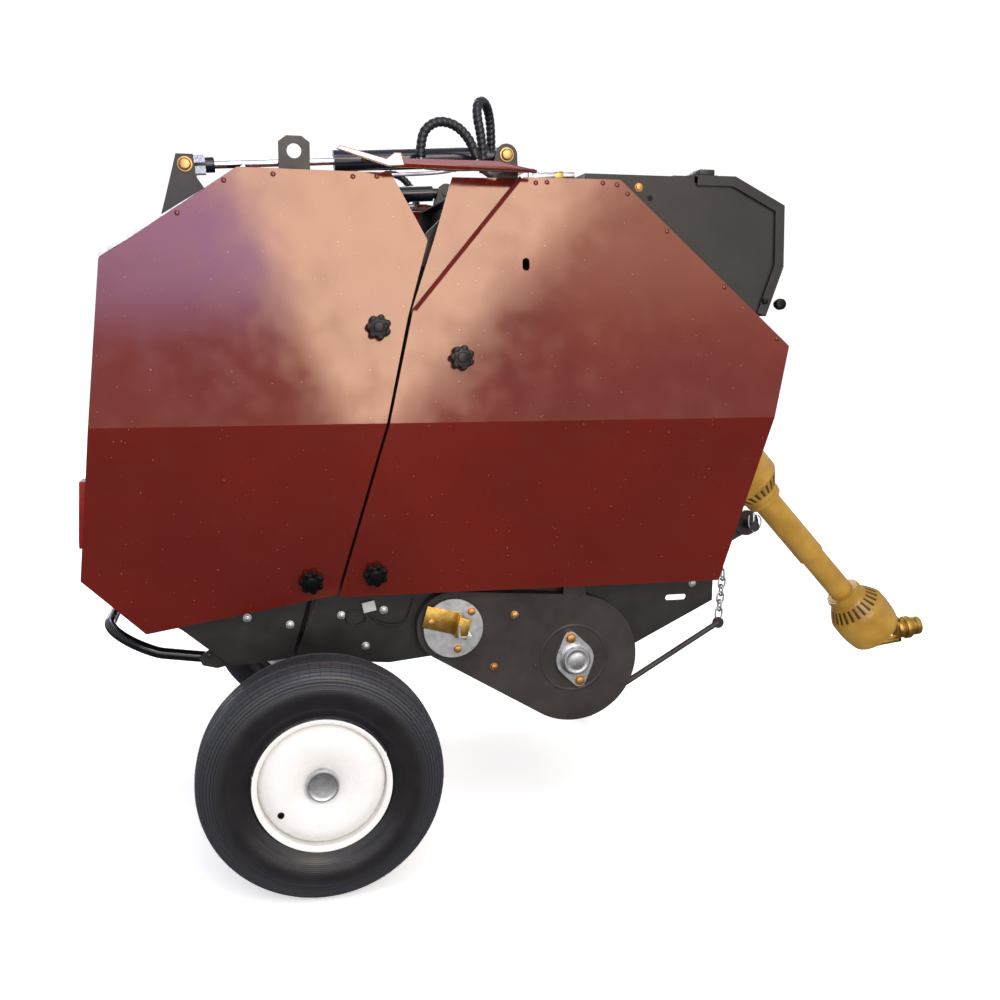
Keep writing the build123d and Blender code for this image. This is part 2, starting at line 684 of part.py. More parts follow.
def guard_rear():
    """The rear half of the shaft guard: bell, collar and outer tube."""
    stations = [(-10, BELL_R - 7), (20, BELL_R), (105, BELL_R), (148, 49), (172, 49),
                (172, GUARD_OUTER_R), (388, GUARD_OUTER_R)]
    return shaft_plane() * turned(stations, GUARD_T)


def guard_front():
    """The front half of the shaft guard: inner tube, collar and bell."""
    stations = [(190, GUARD_INNER_R), (536, GUARD_INNER_R), (536, 49), (560, 49), (603, BELL_R - 3),
                (640, BELL_R), (SHAFT_LENGTH - 8, BELL_R - 7)]
    shell = turned(stations, GUARD_T)
    core = Pos(0, 0, 550) * Cylinder(47, 12)
    neck = Pos(0, 0, 602) * Cylinder(20, 100)
    return shaft_plane() * (shell + core + neck)


def yoke_rear():
    """The yoke on the gearbox's stub, inside the rear bell."""
    x, z = JOINT_REAR
    hub = Pos(x - 48, 0, z) * Rot(0, 90, 0) * Cylinder(27, 44)
    hub -= Pos(x - 62, 0, z) * Rot(0, 90, 0) * Cylinder(SPLINE_BORE_R + PIN_GAP, 16)
    ears = box(x - 30, x + 16, 24, 34, z - 16, z + 16) + box(x - 30, x + 16, -34, -24, z - 16, z + 16)
    web = box(x - 32, x - 24, -34, 34, z - 16, z + 16)
    return hub + ears + web


def yoke_front():
    """The end yoke that slides on the tractor's splined stub."""
    plane = Plane(origin=(JOINT_FRONT[0], 0, JOINT_FRONT[1]), x_dir=(0, 1, 0),
                  z_dir=(YOKE_TIP[0] - JOINT_FRONT[0], 0, YOKE_TIP[1] - JOINT_FRONT[1]))
    length = math.hypot(YOKE_TIP[0] - JOINT_FRONT[0], YOKE_TIP[1] - JOINT_FRONT[1])
    hub = Pos(0, 0, length - 35) * Cylinder(25, 70)
    hub += Pos(0, 0, length - 40) * Cylinder(30, 18)
    ears = Pos(0, 29, length / 2 - 35) * Box(32, 10, length - 55)
    ears += Pos(0, -29, length / 2 - 35) * Box(32, 10, length - 55)
    web = Pos(0, 0, length - 66) * Box(32, 68, 10)
    body = hub + ears + web
    return plane * (body - Pos(0, 0, length - 35) * Cylinder(SPLINE_BORE_R, 72))


# ---------------------------------------------------------------- parking leg and wheels
def parking_leg():
    """The square leg with its foot plate."""
    x, y = LEG
    half = LEG_SIZE / 2
    tube = box(x - half, x + half, y - half, y + half, 8, 700)
    tube -= box(x - half + 4, x + half - 4, y - half + 4, y + half - 4, 8, 701)
    foot = box(x - 40, x + 40, y - 35, y + 35, 0, 8)
    return tube + foot


def tyre():
    """A ribbed implement tyre's closed section, turned about the axle."""
    outer = [*TYRE_HALF_SECTION, (TYRE_R, 0)]
    outline = outer + [(radius, -out) for radius, out in TYRE_HALF_SECTION[::-1]]
    ring = revolve(make_face(Polyline(*outline, close=True)), axis=Axis.Y)
    return Pos(0, -WHEEL_Y, TYRE_R) * ring


def rim():
    """A dished disc wheel with an outer flange, about its own centre."""
    flange_r = RIM_R + RIM_FLANGE
    dish_in = RIM_R - 5
    stations = [
        (HUB_R + 0.3, DISC_OUT + 2), (HUB_R + 0.3, DISC_OUT + 6), (58, DISC_OUT + 14),
        (92, DISC_OUT + 24), (116, DISC_OUT + 20), (dish_in, DISC_OUT + 4),
        (dish_in, RIM_HALF + 6), (flange_r, RIM_HALF + 6), (flange_r, RIM_HALF + 2), (RIM_R, RIM_HALF),
        (RIM_R, -RIM_HALF), (flange_r, -RIM_HALF - 2), (flange_r, -RIM_HALF - 6), (dish_in, -RIM_HALF - 6),
        (dish_in, DISC_OUT), (115, DISC_OUT + 16), (92, DISC_OUT + 20), (60, DISC_OUT + 10),
    ]
    section = make_face(Polyline(*[(radius, -out) for radius, out in stations], close=True))
    return Pos(0, -WHEEL_Y, TYRE_R) * revolve(section, axis=Axis.Y)


def hub():
    """The wheel's hub tube with its closed cap."""
    outer_y = -WHEEL_Y - DISC_OUT - 40
    inner_y = -WHEEL_Y + 46
    tube = rod_y((0, TYRE_R), HUB_R, outer_y, inner_y)
    tube -= rod_y((0, TYRE_R), STUB_R + PIN_GAP, outer_y + 8, inner_y)
    flange = rod_y((0, TYRE_R), 52, -WHEEL_Y - DISC_OUT - 2, -WHEEL_Y - DISC_OUT + 4)
    flange -= rod_y((0, TYRE_R), HUB_R, -WHEEL_Y - DISC_OUT - 2, -WHEEL_Y - DISC_OUT + 4)
    return tube + flange


# ---------------------------------------------------------------- hoses
def hose(points, radius):
    """A hose on straight runs joined by large arcs, and its bend radii."""
    vectors = [Vector(*point) for point in points]
    radii = []
    for before, here, after in zip(vectors, vectors[1:], vectors[2:]):
        run_in = here - before
        run_out = after - here
        turn = math.radians(run_in.get_angle(run_out))
        shorter = min(run_in.length, run_out.length)
        radii.append(0.45 * shorter / math.tan(turn / 2))
    path = FilletPolyline(*points, radius=radii)
    section = Plane(origin=path @ 0, z_dir=path % 0) * Circle(radius)
    tube = sweep(section, path=path)
    expected = math.pi * radius ** 2 * path.length
    print(f"hose length {path.length:.0f}, tightest arc {min(radii):.0f}")
    print(f"volume over the expected one {tube.volume / expected:.3f}")
    return tube


HOSE_R = 10.0
RAM_HOSE = [
    (233, -437, 1494), (234, -437, 1522), (243, -437, 1548), (270, -437, 1564), (303, -437, 1558),
    (327, -437, 1538), (341, -437, 1515), (348, -437, 1494),
]
FRAME_HOSE = [
    (367, -412, 1482), (366, -412, 1515), (361, -412, 1550), (354, -412, 1580), (356, -405, 1606),
    (370, -385, 1616), (386, -358, 1610), (397, -338, 1586), (401, -331, 1552), (402, -328, 1508),
]


def ram_hose():
    """The hose that loops along the ram, from one port to the other."""
    return hose(RAM_HOSE, HOSE_R)


# ---------------------------------------------------------------- writing the pieces
CHASSIS = {
    "side_plates": side_plates, "cross_members": cross_members, "body_sheets": body_sheets,
    "axle": axle, "hitch_beam": hitch_beam, "hitch_posts": hitch_posts,
    "top_link_bracket": top_link_bracket, "gearbox": gearbox, "net_box": net_box,
    "front_bearings": front_bearings,
    "hinge_guards": hinge_guards, "front_ram_lugs": front_ram_lugs, "hinge_pins": hinge_pins,
    "pivot_discs": pivot_discs, "pto_yoke_rear": yoke_rear, "lift_chains": lift_chains,
}
TAILGATE = {
    "tailgate_frame": tailgate_frame, "tailgate_sheet": tailgate_sheet,
    "rear_ram_brackets": rear_ram_brackets, "lifting_lugs": lifting_lugs, "tail_lamps": tail_lamps,
    "ramp_hoop": ramp_hoop, "rear_bearings": rear_bearings,
}
OTHERS = {
    "net_box_lid": net_box_lid, "pickup_cases": pickup_cases, "pickup_bearings": pickup_bearings,
    "pickup_bands": pickup_bands, "pickup_reel": pickup_reel, "pto_guard_rear": guard_rear,
    "pto_guard_front": guard_front, "pto_yoke_front": yoke_front, "parking_leg": parking_leg,
}
BOTH_SIDES = {
    "tyre": tyre, "rim": rim, "hub": hub, "rear_cover": rear_cover, "front_cover": front_cover,
    "ram_barrel": ram_barrel, "ram_rod": ram_rod, "ram_hose": ram_hose,
}

for name, make in {**CHASSIS, **TAILGATE, **OTHERS}.items():
    save(make(), name)

for name, make in BOTH_SIDES.items():
    right = make()
    save(right, f"{name}_right")
    save(left_of(right), f"{name}_left")

save(hose(FRAME_HOSE, HOSE_R), "frame_hose")

LONG_SHAFT = PLATE_OUTER_Y + BEARING_T - 1
SHORT_SHAFT = PLATE_INNER_Y - 1
SHAFT_HALVES = [LONG_SHAFT] * 4 + [SHORT_SHAFT] + [LONG_SHAFT] * 5
for number, place in enumerate(FRONT_ROLLERS + REAR_ROLLERS, start=1):
    save(roller(place, SHAFT_HALVES[number - 1]), f"roller_{number}")
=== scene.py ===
import json
import math
import random
from contextlib import contextmanager
import bmesh
import bpy
from mathutils import Matrix, Vector


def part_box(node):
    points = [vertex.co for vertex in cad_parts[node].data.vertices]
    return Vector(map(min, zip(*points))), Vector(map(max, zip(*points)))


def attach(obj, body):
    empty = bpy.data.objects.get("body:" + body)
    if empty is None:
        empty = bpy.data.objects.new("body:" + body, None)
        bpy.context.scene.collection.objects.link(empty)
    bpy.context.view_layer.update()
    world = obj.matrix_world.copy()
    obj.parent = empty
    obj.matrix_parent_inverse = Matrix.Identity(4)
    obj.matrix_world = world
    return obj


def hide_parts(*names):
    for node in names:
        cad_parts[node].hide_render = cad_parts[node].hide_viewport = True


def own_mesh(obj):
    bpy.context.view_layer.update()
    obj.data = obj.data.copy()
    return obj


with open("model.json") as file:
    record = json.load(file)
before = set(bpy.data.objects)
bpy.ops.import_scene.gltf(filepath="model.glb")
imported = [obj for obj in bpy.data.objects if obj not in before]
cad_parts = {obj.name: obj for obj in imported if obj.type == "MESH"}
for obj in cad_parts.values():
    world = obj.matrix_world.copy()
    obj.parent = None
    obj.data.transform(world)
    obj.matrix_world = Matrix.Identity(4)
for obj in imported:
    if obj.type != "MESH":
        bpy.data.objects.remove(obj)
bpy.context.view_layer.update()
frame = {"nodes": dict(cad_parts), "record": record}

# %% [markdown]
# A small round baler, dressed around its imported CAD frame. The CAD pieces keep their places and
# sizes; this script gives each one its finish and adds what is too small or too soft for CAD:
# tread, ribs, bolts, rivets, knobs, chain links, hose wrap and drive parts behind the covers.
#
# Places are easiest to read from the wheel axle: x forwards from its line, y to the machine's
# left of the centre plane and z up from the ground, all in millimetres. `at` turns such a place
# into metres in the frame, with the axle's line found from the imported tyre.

nodes = frame["nodes"]
tyre_low, tyre_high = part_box("tyre_right")
AXLE_X = (tyre_low[0] + tyre_high[0]) / 2
TO_FRAME = Matrix.Translation((AXLE_X, 0, 0)) @ Matrix.Scale(0.001, 4)
FROM_FRAME = TO_FRAME.inverted()


def at(x, y, z):
    """A place in mm from the axle's line, as metres in the frame."""
    return TO_FRAME @ Vector((x, y, z))


print("axle line at x =", round(AXLE_X, 4), "m;", len(nodes), "CAD pieces")

# %% [markdown]
# ## Camera
# The camera stands to the machine's right, level with the covers' upper half and a little behind
# the middle, so the near side is seen almost square on and the roof stays hidden. Its turn is
# built from three directions at right angles, which is exact and has no gimbal trouble.

# %% Camera
EYE = (-107.5, -2726.6, 1181.6)
LOOKING, RIGHTWARDS = Vector((0.2139, 0.9624, -0.1671)), Vector((0.9764, -0.2161, 0.0054))
LENS_MM, SENSOR_MM = 39.67, 36

eye = at(*EYE)
ahead = LOOKING.normalized()
level = RIGHTWARDS.normalized()
right = (level - ahead * level.dot(ahead)).normalized()
camera_data = bpy.data.cameras.new("camera")
camera_data.lens = LENS_MM
camera_data.sensor_width = SENSOR_MM
camera = bpy.data.objects.new("camera", camera_data)
turn = Matrix((right, right.cross(ahead), -ahead)).transposed()
camera.matrix_world = Matrix.Translation(eye) @ turn.to_4x4()
bpy.context.collection.objects.link(camera)
bpy.context.scene.camera = camera
print("camera at", [round(value, 3) for value in eye])

# %% [markdown]
# ## Hose routes
# Three hydraulic hoses lie free above the rams, each in a thick spiral wrap. A NURBS curve
# through a few control points gives the soft, even bends that a stiff hose has. The order is
# set after the points are added, because Blender lowers it on a spline with too few points.
# The routes come first, so the wrap, the ferrules and the printed lengths all read the same line.

# %% Routes of the hoses, in mm, and a helper that lays a curve along one
RAM_HOSE = [
    (233, 437, 1494), (234, 437, 1522), (243, 437, 1548), (270, 437, 1564), (303, 437, 1558),
    (327, 437, 1538), (341, 437, 1515), (348, 437, 1494),
]
FRAME_HOSE = [
    (367, 412, 1482), (366, 412, 1515), (361, 412, 1550), (354, 412, 1580), (356, 405, 1606),
    (370, 385, 1616), (386, 358, 1610), (397, 338, 1586), (401, 331, 1552), (402, 328, 1508),
]


def route_curve(points, bevel=0.0, closed=False):
    """A NURBS curve of order 3 with these control points."""
    data = bpy.data.curves.new("route", "CURVE")
    data.dimensions = "3D"
    data.resolution_u = 10
    data.bevel_depth = bevel
    data.bevel_resolution = 3
    data.use_fill_caps = True
    spline = data.splines.new("NURBS")
    spline.points.add(len(points) - 1)
    for control, point in zip(spline.points, points):
        control.co = (*point, 1)
    spline.use_cyclic_u = closed
    spline.order_u = 3
    spline.use_endpoint_u = not closed
    return bpy.data.objects.new("route", data)


def points_on(route):
    """The points that Blender lays along a curve with no bevel, in order."""
    mesh = bpy.data.meshes.new_from_object(route)
    return [vertex.co.copy() for vertex in mesh.vertices]


def length_of(points):
    """The length of a run of points."""
    return sum((b - a).length for a, b in zip(points, points[1:]))


routes = {
    "ram_hose_right": [at(x, -y, z) for x, y, z in RAM_HOSE],
    "ram_hose_left": [at(x, y, z) for x, y, z in RAM_HOSE],
    "frame_hose": [at(x, -y, z) for x, y, z in FRAME_HOSE],
}
centrelines = {name: points_on(route_curve(points)) for name, points in routes.items()}
for name, points in centrelines.items():
    print(name, len(points), "points,", round(length_of(points), 3), "m")

# %% [markdown]
# ## Materials
# Every finish is a small graph of Blender's shader nodes with procedural patterns, so it works
# at any size and needs no image. One helper, `add`, makes a node of any kind, sets its options
# and fills or links its inputs. `start` makes a material and hands back its shader and the
# object's own coordinates in metres.

# %% Colour and node helpers
def srgb(code):
    """A six-digit sRGB hex code as a linear RGBA colour."""
    channels = [int(code[start:start + 2], 16) / 255 for start in (0, 2, 4)]
    linear = [c / 12.92 if c <= 0.04045 else ((c + 0.055) / 1.055) ** 2.4 for c in channels]
    return (*linear, 1.0)


def fill(node, inputs):
    """Set a node's inputs to values, or link them to sockets or to other nodes' first outputs."""
    for name, value in inputs.items():
        if isinstance(value, bpy.types.Node):
            value = value.outputs[0]
        if isinstance(value, bpy.types.NodeSocket):
            node.id_data.links.new(value, node.inputs[name])
        else:
            node.inputs[name].default_value = value


def add(tree, kind, inputs=None, **settings):
    """A new shader node with its settings, and its inputs filled or linked."""
    made = tree.nodes.new("ShaderNode" + kind)
    for name, value in settings.items():
        setattr(made, name, value)
    fill(made, inputs or {})
    return made


def start(name):
    """A new material: its node tree, its Principled shader and the object coordinates."""
    material = bpy.data.materials.new(name)
    material.use_nodes = True
    tree = material.node_tree
    shader = tree.nodes["Principled BSDF"]
    return material, tree, shader, add(tree, "TexCoord").outputs["Object"]


print("a mid grey of 808080 is", round(srgb("808080")[0], 3), "in linear light")

# %% [markdown]
# Three patterns come back in nearly every finish, so each is worked out once: patches of a real
# size, a colour that drifts between two in such patches, and a grain that bends the surface's
# normal. Noise has no size of its own, so its scale is a thousand over a size in millimetres.

# %% Patches, drifting colours and grain
def patches(tree, place, size_mm, low, high, detail=2.0, roughness=0.5, spread_to=(0.0, 1.0)):
    """Soft patches about size_mm across: noise whose range from low to high is spread out."""
    blobs = {"Vector": place, "Scale": 1000 / size_mm, "Detail": detail, "Roughness": roughness}
    return add(tree, "MapRange", {
        "Value": add(tree, "TexNoise", blobs), "From Min": low, "From Max": high,
        "To Min": spread_to[0], "To Max": spread_to[1]})


def drifting(tree, place, size_mm, low, high, dark, light, detail=2.0, roughness=0.5):
    """A colour that drifts between two hex codes in soft patches."""
    share = patches(tree, place, size_mm, low, high, detail, roughness)
    return add(tree, "MixRGB", {"Fac": share, "Color1": srgb(dark), "Color2": srgb(light)})


def grain(tree, place, size_mm, depth_mm, detail=2.0, under=None):
    """A surface normal bent by bumps of a size and a depth, over another pattern if given."""
    bumps = add(tree, "TexNoise", {"Vector": place, "Scale": 1000 / size_mm, "Detail": detail})
    inputs = {"Height": bumps, "Distance": depth_mm / 1000}
    return add(tree, "Bump", inputs if under is None else {**inputs, "Normal": under})


print("a grain of 2 mm is noise at a scale of", 1000 / 2)

# %% [markdown]
# ### Painted steel
# The covers wear wine-red enamel, sprayed thick over sheet that isn't quite flat. Two bumps tell
# that story: a fine orange peel under 3 mm across, and slow waves about 26 cm across that make
# the reflections wander. Its highlight is tinted warm, as on a clear coat over red, and a few
# pale dust specks sit on it. The black parts are satin powder coat, rougher and slightly brown.

# %% Wine enamel, black powder coat, blue-black and white enamel
PEEL_MM, WAVE_MM, SPECK_MM = 2.6, 260, 3.5


def enamel():
    """Wine-red gloss enamel on thin sheet: waves, orange peel, smears and dust specks."""
    material, tree, shader, place = start("wine_enamel")
    base = drifting(tree, place, WAVE_MM, 0.3, 0.7, "5E130E", "69180F")
    specks = patches(tree, place, SPECK_MM, 0.85, 0.89, 0.0)
    peel = grain(tree, place, PEEL_MM, 0.018, 1.0)
    fill(shader, {
        "Base Color": add(tree, "MixRGB", {"Fac": specks, "Color1": base, "Color2": srgb("A08478")}),
        "Normal": grain(tree, place, WAVE_MM, 0.7, 1.0, peel),
        "Roughness": patches(tree, place, 60, 0.35, 0.75, 3.0, spread_to=(0.09, 0.2)),
        "Specular IOR Level": 0.9, "Specular Tint": (1.0, 0.8, 0.7, 1.0)})
    return material


def powder(name, dark, light, rough, depth_mm=0.03, specular=0.5):
    """Satin powder coat: an even fine grain, with dust gathered in soft patches."""
    material, tree, shader, place = start(name)
    fill(shader, {
        "Base Color": drifting(tree, place, 90, 0.35, 0.75, dark, light, 4.0, 0.6),
        "Roughness": patches(tree, place, 40, 0.3, 0.7, 3.0, spread_to=(rough - 0.06, rough + 0.08)),
        "Normal": grain(tree, place, 1.4, depth_mm, 1.0), "Specular IOR Level": specular})
    return material


wine = enamel()
black = powder("black_powder_coat", "221D1C", "2E2927", 0.38)
gloss_black = powder("gloss_black_paint", "0B0B0D", "131315", 0.16, 0.005)
# Dull darker wine, used only for the painted shade along the front cover's crease.
crease_shade_wine = powder("painted_crease_shade_paint", "5E0F0C", "68120E", 0.85, specular=0.3)
case_black = powder("chain_case_satin_black", "332E2D", "433D3B", 0.36, specular=0.3)
blue_black = powder("blue_black_gloss_paint", "10131C", "1B2030", 0.2, 0.01)
white = powder("white_wheel_enamel", "F4F3EE", "FBFAF7", 0.24, 0.008)
roller_paint = powder("worn_roller_paint", "4A4A4A", "5E5C58", 0.5, 0.04)
cast = powder("painted_cast_iron", "35363A", "46474B", 0.55, 0.25)
paints = (wine, crease_shade_wine, black, gloss_black, case_black, blue_black, white, roller_paint, cast)
print("paints:", [paint.name for paint in paints])

# %% [markdown]
# ### Bare and plated metal
# Zinc plate is bright and blue-white but never a mirror: its grain spreads the light and small
# crystals vary the sheen. Real crystals are too fine to show from here, so they are drawn 4 mm
# across. Yellow passivate drifts between straw and olive. Chrome is the one true mirror here,
# with the finest grain, and brass and copper-toned bolts are warmer.

# %% Zinc, yellow zinc, copper-toned bolts, brass and chrome
CRYSTAL_MM = 4


def plated(name, dark, light, rough, grain_mm=1.2, depth_mm=0.02):
    """Plated metal: a colour that drifts, crystals in its sheen and a fine grain."""
    material, tree, shader, place = start(name)
    crystals = add(tree, "TexVoronoi", {"Vector": place, "Scale": 1000 / CRYSTAL_MM})
    sheen = {"Value": crystals, "From Max": 0.9, "To Min": rough, "To Max": rough + 0.16}
    fill(shader, {
        "Base Color": drifting(tree, place, 14, 0.3, 0.7, dark, light, 3.0),
        "Roughness": add(tree, "MapRange", sheen),
        "Normal": grain(tree, place, grain_mm, depth_mm), "Metallic": 1.0})
    return material


zinc = plated("bright_zinc_plate", "C2C4C6", "E2E3E4", 0.34)
yellow_zinc = plated("yellow_passivated_zinc", "B0873A", "D6B060", 0.3)
copper_bolt = plated("copper_toned_bolt_plate", "C08A4C", "E2B274", 0.32)
brass = plated("brass_fitting", "A8813A", "D8B566", 0.24)
blackened = plated("blackened_steel", "2A2B2E", "3A3B3E", 0.3)
chrome = plated("ground_hard_chrome", "D6DBE2", "E4E8ED", 0.06, 0.5, 0.004)
print("metals:", [m.name for m in (zinc, yellow_zinc, copper_bolt, brass, blackened, chrome)])

# %% [markdown]
# ### Rubber and plastic
# Tyre rubber is charcoal with a dusty bloom and a soft bluish sheen: the shader's own sheen, and a
# paler bluish grey painted on the shoulder as a painted sheen. Its sidewall keeps fine rings from the
# mould, drawn from the distance to the wheel's centre, with a few deeper grooves near the tread and
# short cuts across the shoulder, painted near black as painted shade. The shaft guard is mustard
# polyethylene, waxy rather than shiny, and the lamp lens is clear red.

# %% Tyre rubber
SIPE_COUNT = 72
RING_PITCH, GROOVE_PITCH = 0.0035, 0.0062
AXLE_HEIGHT = 250


def stripes(tree, value, times, wave):
    """Even stripes: the SINE or the COSINE of a value that is multiplied first."""
    turns = add(tree, "Math", {0: value, 1: times}, operation="MULTIPLY")
    return add(tree, "Math", {0: turns}, operation=wave)


def tyre_rubber():
    """Natural rubber with mould rings round the wheel's axis, painted shade in its grooves and cuts, and a
    painted sheen on its shoulder.
    """
    material, tree, shader, place = start("tyre_rubber")
    to_hub = add(tree, "VectorMath", {0: place, 1: tuple(at(0, 0, AXLE_HEIGHT))}, operation="SUBTRACT")
    flat = add(tree, "VectorMath", {0: to_hub, 1: (1, 0, 1)}, operation="MULTIPLY")
    radius = add(tree, "VectorMath", {0: flat}, operation="LENGTH").outputs["Value"]
    sides = add(tree, "SeparateXYZ", {"Vector": to_hub}).outputs
    angle = add(tree, "Math", {0: sides["Z"], 1: sides["X"]}, operation="ARCTAN2")

    zones = {       # what is read, and where its range begins and ends
        "cut": (stripes(tree, angle, SIPE_COUNT, "COSINE"), 0.988, 0.996),
        "outermost": (radius, 0.2285, 0.2295),
        "groove": (stripes(tree, radius, 2 * math.pi / GROOVE_PITCH, "SINE"), 0.72, 0.95),
        "grooved": (radius, 0.205, 0.21),
        "shoulder": (radius, 0.192, 0.224),
    }
    for name, (value, low, high) in zones.items():
        zones[name] = add(tree, "MapRange", {"Value": value, "From Min": low, "From Max": high})
    cuts = add(tree, "Math", {0: zones["cut"], 1: zones["outermost"]}, operation="MULTIPLY")
    grooves = add(tree, "Math", {0: zones["groove"], 1: zones["grooved"]}, operation="MULTIPLY")
    groove_cut_shade = add(tree, "Math", {0: grooves, 1: cuts}, operation="MAXIMUM")
    rings = stripes(tree, radius, 2 * math.pi / RING_PITCH, "SINE")
    fine = add(tree, "Bump", {
        "Height": rings, "Distance": 0.00006, "Normal": grain(tree, place, 1.8, 0.08, 3.0)})
    side_colour = drifting(tree, place, 70, 0.42, 0.8, "161315", "262225", 5.0, 0.62)
    # The shoulder is mixed to a paler bluish grey: a painted sheen, standing in for the sky's reflection.
    painted_sheen_shoulder = add(tree, "MixRGB", {
        "Fac": zones["shoulder"], "Color1": side_colour, "Color2": srgb("33343B")})
    # Grooves and cuts are painted near black: painted shade in the low places that the bump suggests.
    fill(shader, {
        "Base Color": add(tree, "MixRGB", {"Fac": groove_cut_shade, "Color1": painted_sheen_shoulder, "Color2": srgb("050506")}),
        "Normal": add(tree, "Bump", {"Height": groove_cut_shade, "Distance": 0.0008, "Normal": fine}, invert=True),
        "Roughness": 0.34, "Sheen Weight": 0.25, "Sheen Tint": srgb("8E97A8")})
    return material


rubber = tyre_rubber()
print("tyre rubber with", SIPE_COUNT, "cuts round the shoulder")

# %% [markdown]
# The plastics and the hoses' wrap are moulded, so one recipe does for all: a colour that drifts
# a little and the mould's faint grain. Only the lens has a clear coat over it, which stands for
# the polish of its mould.

# %% Hose wrap, guard plastic, knob plastic, tag, wire cover and lamp lens
def moulded(name, dark, light, rough, size_mm=50, depth_mm=0.05, specular=0.5, coat=0.0):
    """Moulded plastic: a colour that drifts a little and a faint mould grain."""
    material, tree, shader, place = start(name)
    fill(shader, {
        "Base Color": drifting(tree, place, size_mm, 0.3, 0.72, dark, light, 4.0),
        "Normal": grain(tree, place, 1.6, depth_mm), "Roughness": rough,
        "Specular IOR Level": specular, "Coat Weight": coat})
    return material


hose_rubber = moulded("spiral_hose_wrap", "121318", "202228", 0.38, 12)
guard = moulded("mustard_polyethylene", "A57C26", "C4993F", 0.34, 60)
# Painted shade for the slots between the guard's ribs.
guard_slot_shade = moulded("guard_slot_shadow", "3E2E0C", "4E3A10", 0.6)
knob_black = moulded("star_knob_plastic", "060606", "0E0D0D", 0.3, specular=0.25)
tag_white = moulded("blank_printed_tag", "C4C6C6", "DADCDB", 0.5)
wire_black = moulded("black_wire_cover", "141416", "1E1E20", 0.4)
lens = moulded("red_lamp_lens", "8E0E12", "B01818", 0.12, 30, 0.01, coat=0.6)
print("soft finishes:", [m.name for m in (hose_rubber, guard, knob_black, tag_white, wire_black, lens)])

# %% [markdown]
# ## Finishes on the CAD pieces
# A CAD piece keeps its mesh. It gets a finish for its material slot, and a Weld and a Bevel
# modifier: real folded or sawn edges are never sharp, and a small bevel catches a thin highlight.
# The covers fold by only sixteen degrees, so their bevel's angle limit is lower than the rest.

# %% Finish, weld and bevel every CAD piece
FINISHES = {
    "red_paint": wine, "black_paint": black, "blue_black_paint": blue_black, "cast_grey": cast,
    "zinc": zinc, "yellow_zinc": yellow_zinc, "chrome": chrome, "white_paint": white,
    "roller_grey": roller_paint, "tyre_rubber": rubber, "hose_rubber": hose_rubber,
    "guard_plastic": guard, "lamp_red": lens,
}
SLOTS = {row["node"]: row["material_slot"] for row in frame["record"]["subparts"]}
OWN_FINISH = {"pickup_cases": case_black, "hinge_pins": black, "ramp_hoop": gloss_black}
ROUND_EDGES = ("frame_hose", "ram_hose_right", "ram_hose_left", "lift_chains")
COVER_BEVEL, OTHER_BEVEL = (1.4, 14), (0.9, 32)     # width in mm, least angle in degrees


def soften(obj, width_mm, angle_deg):
    """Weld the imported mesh's seams, bevel its sharp edges and keep its flat faces flat."""
    weld = obj.modifiers.new("weld", "WELD")
    weld.merge_threshold = 0.00002
    bevel = obj.modifiers.new("bevel", "BEVEL")
    bevel.width = width_mm / 1000
    bevel.segments = 2
    bevel.limit_method = "ANGLE"
    bevel.angle_limit = math.radians(angle_deg)
    bevel.use_clamp_overlap = True
    obj.modifiers.new("flat_faces", "WEIGHTED_NORMAL").keep_sharp = True


for name, node in nodes.items():
    node.data.materials.clear()
    node.data.materials.append(OWN_FINISH.get(name, FINISHES[SLOTS[name]]))
    if name not in ROUND_EDGES:
        cover = name.startswith(("front_cover", "rear_cover"))
        soften(node, *(COVER_BEVEL if cover else OTHER_BEVEL))
print("finished", len(nodes), "CAD pieces in", len(set(SLOTS.values())), "slots")

# %% [markdown]
# ## Making new pieces
# Each new piece is drawn with bmesh operators in millimetres from the axle. `piece` hands out an
# empty shape, and when its `with` block ends it moves what was drawn into the frame in one step,
# so the mesh holds the place and the object stays at the origin. Normals are recalculated there,
# since spins and mirrored places can turn them inwards. `each_side` does this for both sides.

# %% Pieces in the frame
SIDES = {"right": -1, "left": 1}
LEFTWARDS = Vector((0, 1, 0))


def to_mesh(shape, name):
    """A drawn shape as a mesh."""
    mesh = bpy.data.meshes.new(name)
    shape.to_mesh(mesh)
    shape.free()
    return mesh


def show(name, mesh, material):
    """A new object at the origin that wears one material."""
    mesh.materials.append(material)
    made = bpy.data.objects.new(name, mesh)
    bpy.context.collection.objects.link(made)
    return made


@contextmanager
def piece(name, material, body, slot, sharp_deg=35, replaces=None):
    """A shape to draw in, which ends as a piece on a body and may replace a CAD node."""
    shape = bmesh.new()
    yield shape
    bmesh.ops.recalc_face_normals(shape, faces=shape.faces)
    mesh = to_mesh(shape, name)
    mesh.transform(TO_FRAME)
    mesh.shade_smooth()
    mesh.set_sharp_from_angle(angle=math.radians(sharp_deg))
    made = show(name, mesh, material)
    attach(made, body)
    if replaces:
        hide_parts(replaces)
    print(name, len(mesh.polygons), "faces on", body)


def each_side(name, material, body, slot, sharp_deg=35, replaces=""):
    """A shape for each side of the machine, with -1 for right or 1 for left.

    A star in the piece's, the body's or the replaced node's name stands for the side's name.
    """
    for side_name, out in SIDES.items():
        own, ridden, replaced = (text.replace("*", side_name) for text in (name, body, replaces))
        with piece(own, material, ridden, slot, sharp_deg, replaced) as shape:
            yield shape, out


def spread(out, near, far):
    """The low and high y of what lies between two distances out from the centre plane."""
    return sorted((out * near, out * far))


print("sides", SIDES)

# %% [markdown]
# Most trim is made of four simple shapes: a rod or cone between two points, a block between two
# corners, the smallest solid round some corners, and a profile spun about a line. Each takes its
# places straight from the axle's coordinates, so no object is ever moved or turned afterwards.

